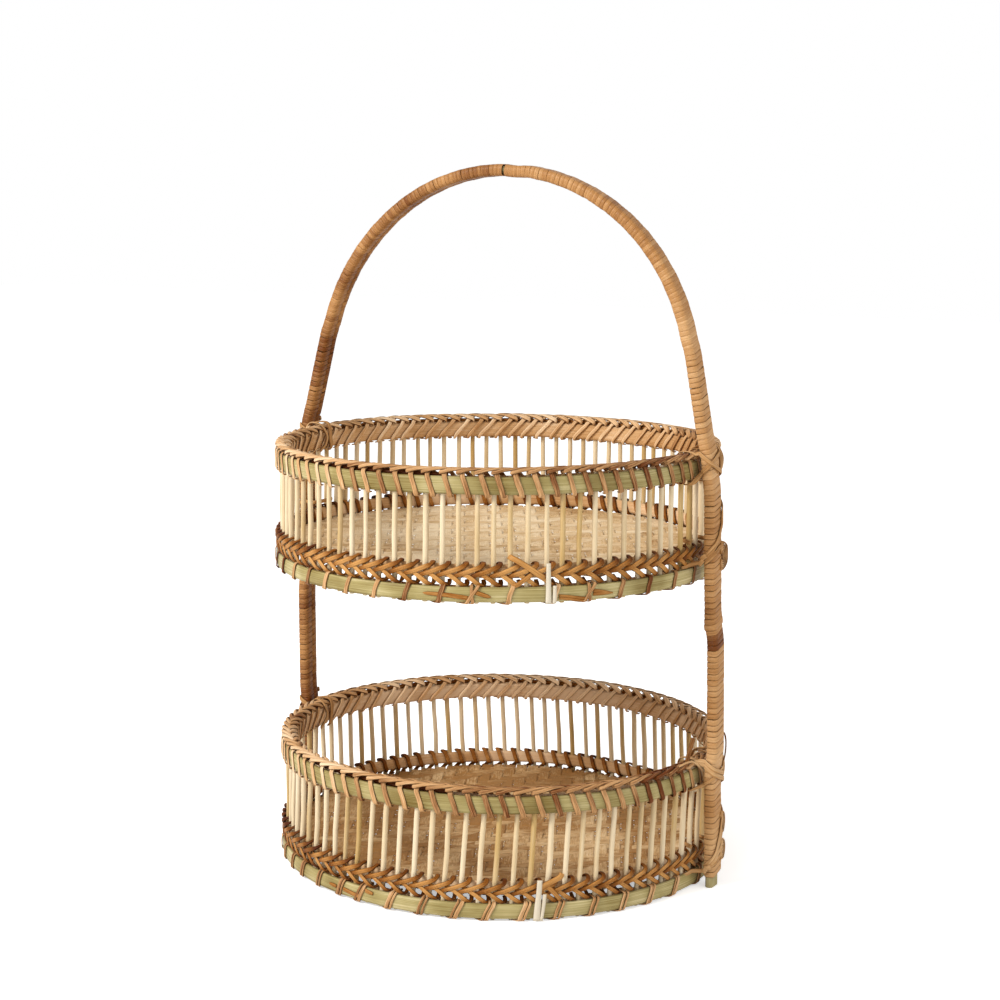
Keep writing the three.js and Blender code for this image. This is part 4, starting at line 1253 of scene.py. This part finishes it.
# %% Ties at the waist
waist_stops = {
    "upper": ((2.4, 55), (2.05, 51.5), (1.84, 48), (1.78, 39), (1.5, 31.5), (1, 24.8), (0.45, 19.6),
              (0.1, 17)),
    "lower": ((2.4, 54), (2.05, 50), (1.84, 46), (1.62, 36), (1.3, 27), (1, 20.4), (0.6, 16), (0.3, 13.6)),
}
crossing_stops = ((2, 25), (1.5, 24), (1, 20.5), (0.5, 16.6), (0.1, 14.2))
knots = {"upper": [(-2.6, 18.4, 40), (-4.4, 14.8, 50)], "lower": [(0.3, 14.6, 20), (-1.6, 12.6, 60)]}
straps = {"upper": (15.8, 12.6), "lower": (12.4, 10.8)}
loops = {"upper": [(18.0, 14.6, 17, 5)], "lower": [(42.0, 10.6, 13, 2), (24.0, 10.8, 12, 3)]}
for side in ("right", "left"):
    for tier in tiers:
        tie = partial(tie_strip, side, tier)
        rows = leg_rows(*waist_stops[tier], off=0.25)
        widths = np.interp(np.arange(len(rows)), [0, 8, 20, 59], [2.5, 3.4, 4.4, 3.8])
        strips = [tie(rows, widths, 1.0, 0.62), tie(leg_rows(*crossing_stops, off=0.2), 3.4, number=0.4)]
        if tier == "lower":
            strips += [tie(fan_foot(high), 2.8, 0.9, number)
                       for high, number in ((36, 0.2), (29, 0.75), (23, 0.4))]
        strips += [tie(knot_rows(*knot), 3.2, 1.2, 0.8) for knot in knots[tier]]
        near_end, far_end = straps[tier]
        strips.append(tie([(147.5, -19, far_end - 0.6, -60), (149.6, -15.5, far_end, -60),
                           (151, -12, far_end + 0.8, -70), (-4.6, -8.0, near_end - 0.8, -80),
                           (-2.4, -7.6, near_end, -90)], [2.0, 2.6, 3.0, 2.8, 2.4], number=0.2))
        for height, reach, drop, count in loops[tier] if side == "right" else []:
            strips += [tie(waist_loop(strand, height, reach, drop), 2.4, 1.15, 0.35 + 0.2 * strand)
                       for strand in range(count)]
        inside = [(150.5, -11, 27.2, -60), (146.6, -10, 28, -90), (144, -8, 28.3, 180), (143.4, 0, 28.4, 180),
                  (144, 8, 28.2, 180), (147, 10, 27.8, 90)] + leg_rows((3.0, 27.4), (2.6, 26.4), (2.0, 25.4))
        strips.append(tie(inside, 2.8, 0.8, 0.3))
        make_piece(f"{side}_{tier}_waist_turns", "tie_cane", tie_finish, 0.55, strips,
                   f"{side}_{tier}_waist_tie")

# %% Loose ends at the lower right leg
tie = partial(tie_strip, "right", "lower")
make_piece("loose_ends", "tie_cane", tie_finish, 0.12, [
    tie([(147.2, -14, 82, -60), (147.4, -14, 86, -60), (149, -13, 94, -60),
         (150.4, -12, 100.4, -60)], 3.0, 1.2),
    tie([(2.6, 6.6, 101.5, 60, 30), (3.4, 7.4, 99, 40, 40), (3.2, 8.8, 94, 30), (3.2, 8.8, 88, 30),
         (3.4, 7.6, 83, 30)], 1.6)])
make_piece("pale_end", "tie_cane", tie_finish, 0.85, [
    tie([(148.5, -29, 85, -60, 60), (151, -24, 86.4, -60, 50), (152.4, -17, 85.8, -60, 40),
         (153.2, -10, 82.2, -60, 10), (153.4, -3, 76.6, -60), (153, 1, 69, -60)], 1.5, 0.8)])

# %% [markdown]
# ## Trays that have settled
# The photographed trays aren't quite true: the upper one hangs up to two millimetres low
# on its left, and the lower one's left edge stands a little high. The solids are true
# circles, so here the finished weave is eased up or down by that much, as one sheet. The
# lower tray has also twisted a little, so its sticks all lean the same way.

# %% Settling
settled = {
    "upper": ([-150, -120, -90, -70, -47, -25, -5, 10, 23, 40, 56, 90, 130, 180],
              [-0.3, -1.0, -1.7, -1.9, -1.8, -1.6, -1.1, -0.6, 0, 0.5, 1.0, 0.8, 0.2, 0],
              [-180, -100, -60, -40, -20, 0, 30, 45, 90, 180],
              [-1.8, -2.0, -2.2, -2.2, -1.6, -1.1, -0.9, -0.7, -1.2, -1.8]),
    "lower": ([-150, -100, -60, -40, -20, 0, 60, 180], [0, 0.9, 1.3, 1.3, 0.9, 0.2, 0, 0],
              [-150, -100, -60, -40, -20, 0, 60, 180], [0, 0.5, 0.8, 0.7, 0.4, 0, 0, 0]),
}
wall_height, tray_radius = 0.08, 0.145
stick_lean, still_height = 0.055, 0.042
for tier in tiers:
    rim_turns, rim_lifts, base_turns, base_lifts = settled[tier]
    middle = tray_place[tier]
    for piece in [made for made in scene.objects if made.name.startswith(tier + "_")]:
        if piece.name in frame["nodes"] or piece.name == f"{tier}_woven_floor":
            continue
        points = np.array([vertex.co for vertex in piece.data.vertices], float)
        east, north = points[:, 0] - middle.x, points[:, 1].copy()
        turn = (np.degrees(np.arctan2(north, east)) + 60 + 180) % 360 - 180
        share = np.clip((points[:, 2] - middle.z) / wall_height, 0, 1)
        lift = (1 - share) * np.interp(turn, base_turns, base_lifts)
        lift += share * np.interp(turn, rim_turns, rim_lifts)
        points[:, 2] += lift * 0.001
        if piece.name == "lower_sticks":
            swing = stick_lean * (points[:, 2] - still_height) / tray_radius
            points[:, 0] = east * np.cos(swing) - north * np.sin(swing) + middle.x
            points[:, 1] = east * np.sin(swing) + north * np.cos(swing)
        piece.data.vertices.foreach_set("co", points.astype(np.float32).ravel())
        piece.data.update()
print("settled trays:", len(settled))

# %% [markdown]
# ## Solids that stay
# The bent bamboo inside the handle shows only at its two feet, and the floor's three
# laths only from below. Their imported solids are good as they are, so each one just gets
# a finish.

# %% Finishes of the solids that stay
kept = {"handle_core": core_finish}
kept.update({f"{tier}_floor_lath_{number}": lath_finish for tier in tiers for number in (1, 2, 3)})
for name, finish in kept.items():
    kept_mesh = frame["nodes"][name].data
    kept_mesh.materials.clear()
    kept_mesh.materials.append(finish)
print("solids that stay:", len(kept))

# %% Sizes of the finished object
low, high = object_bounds()
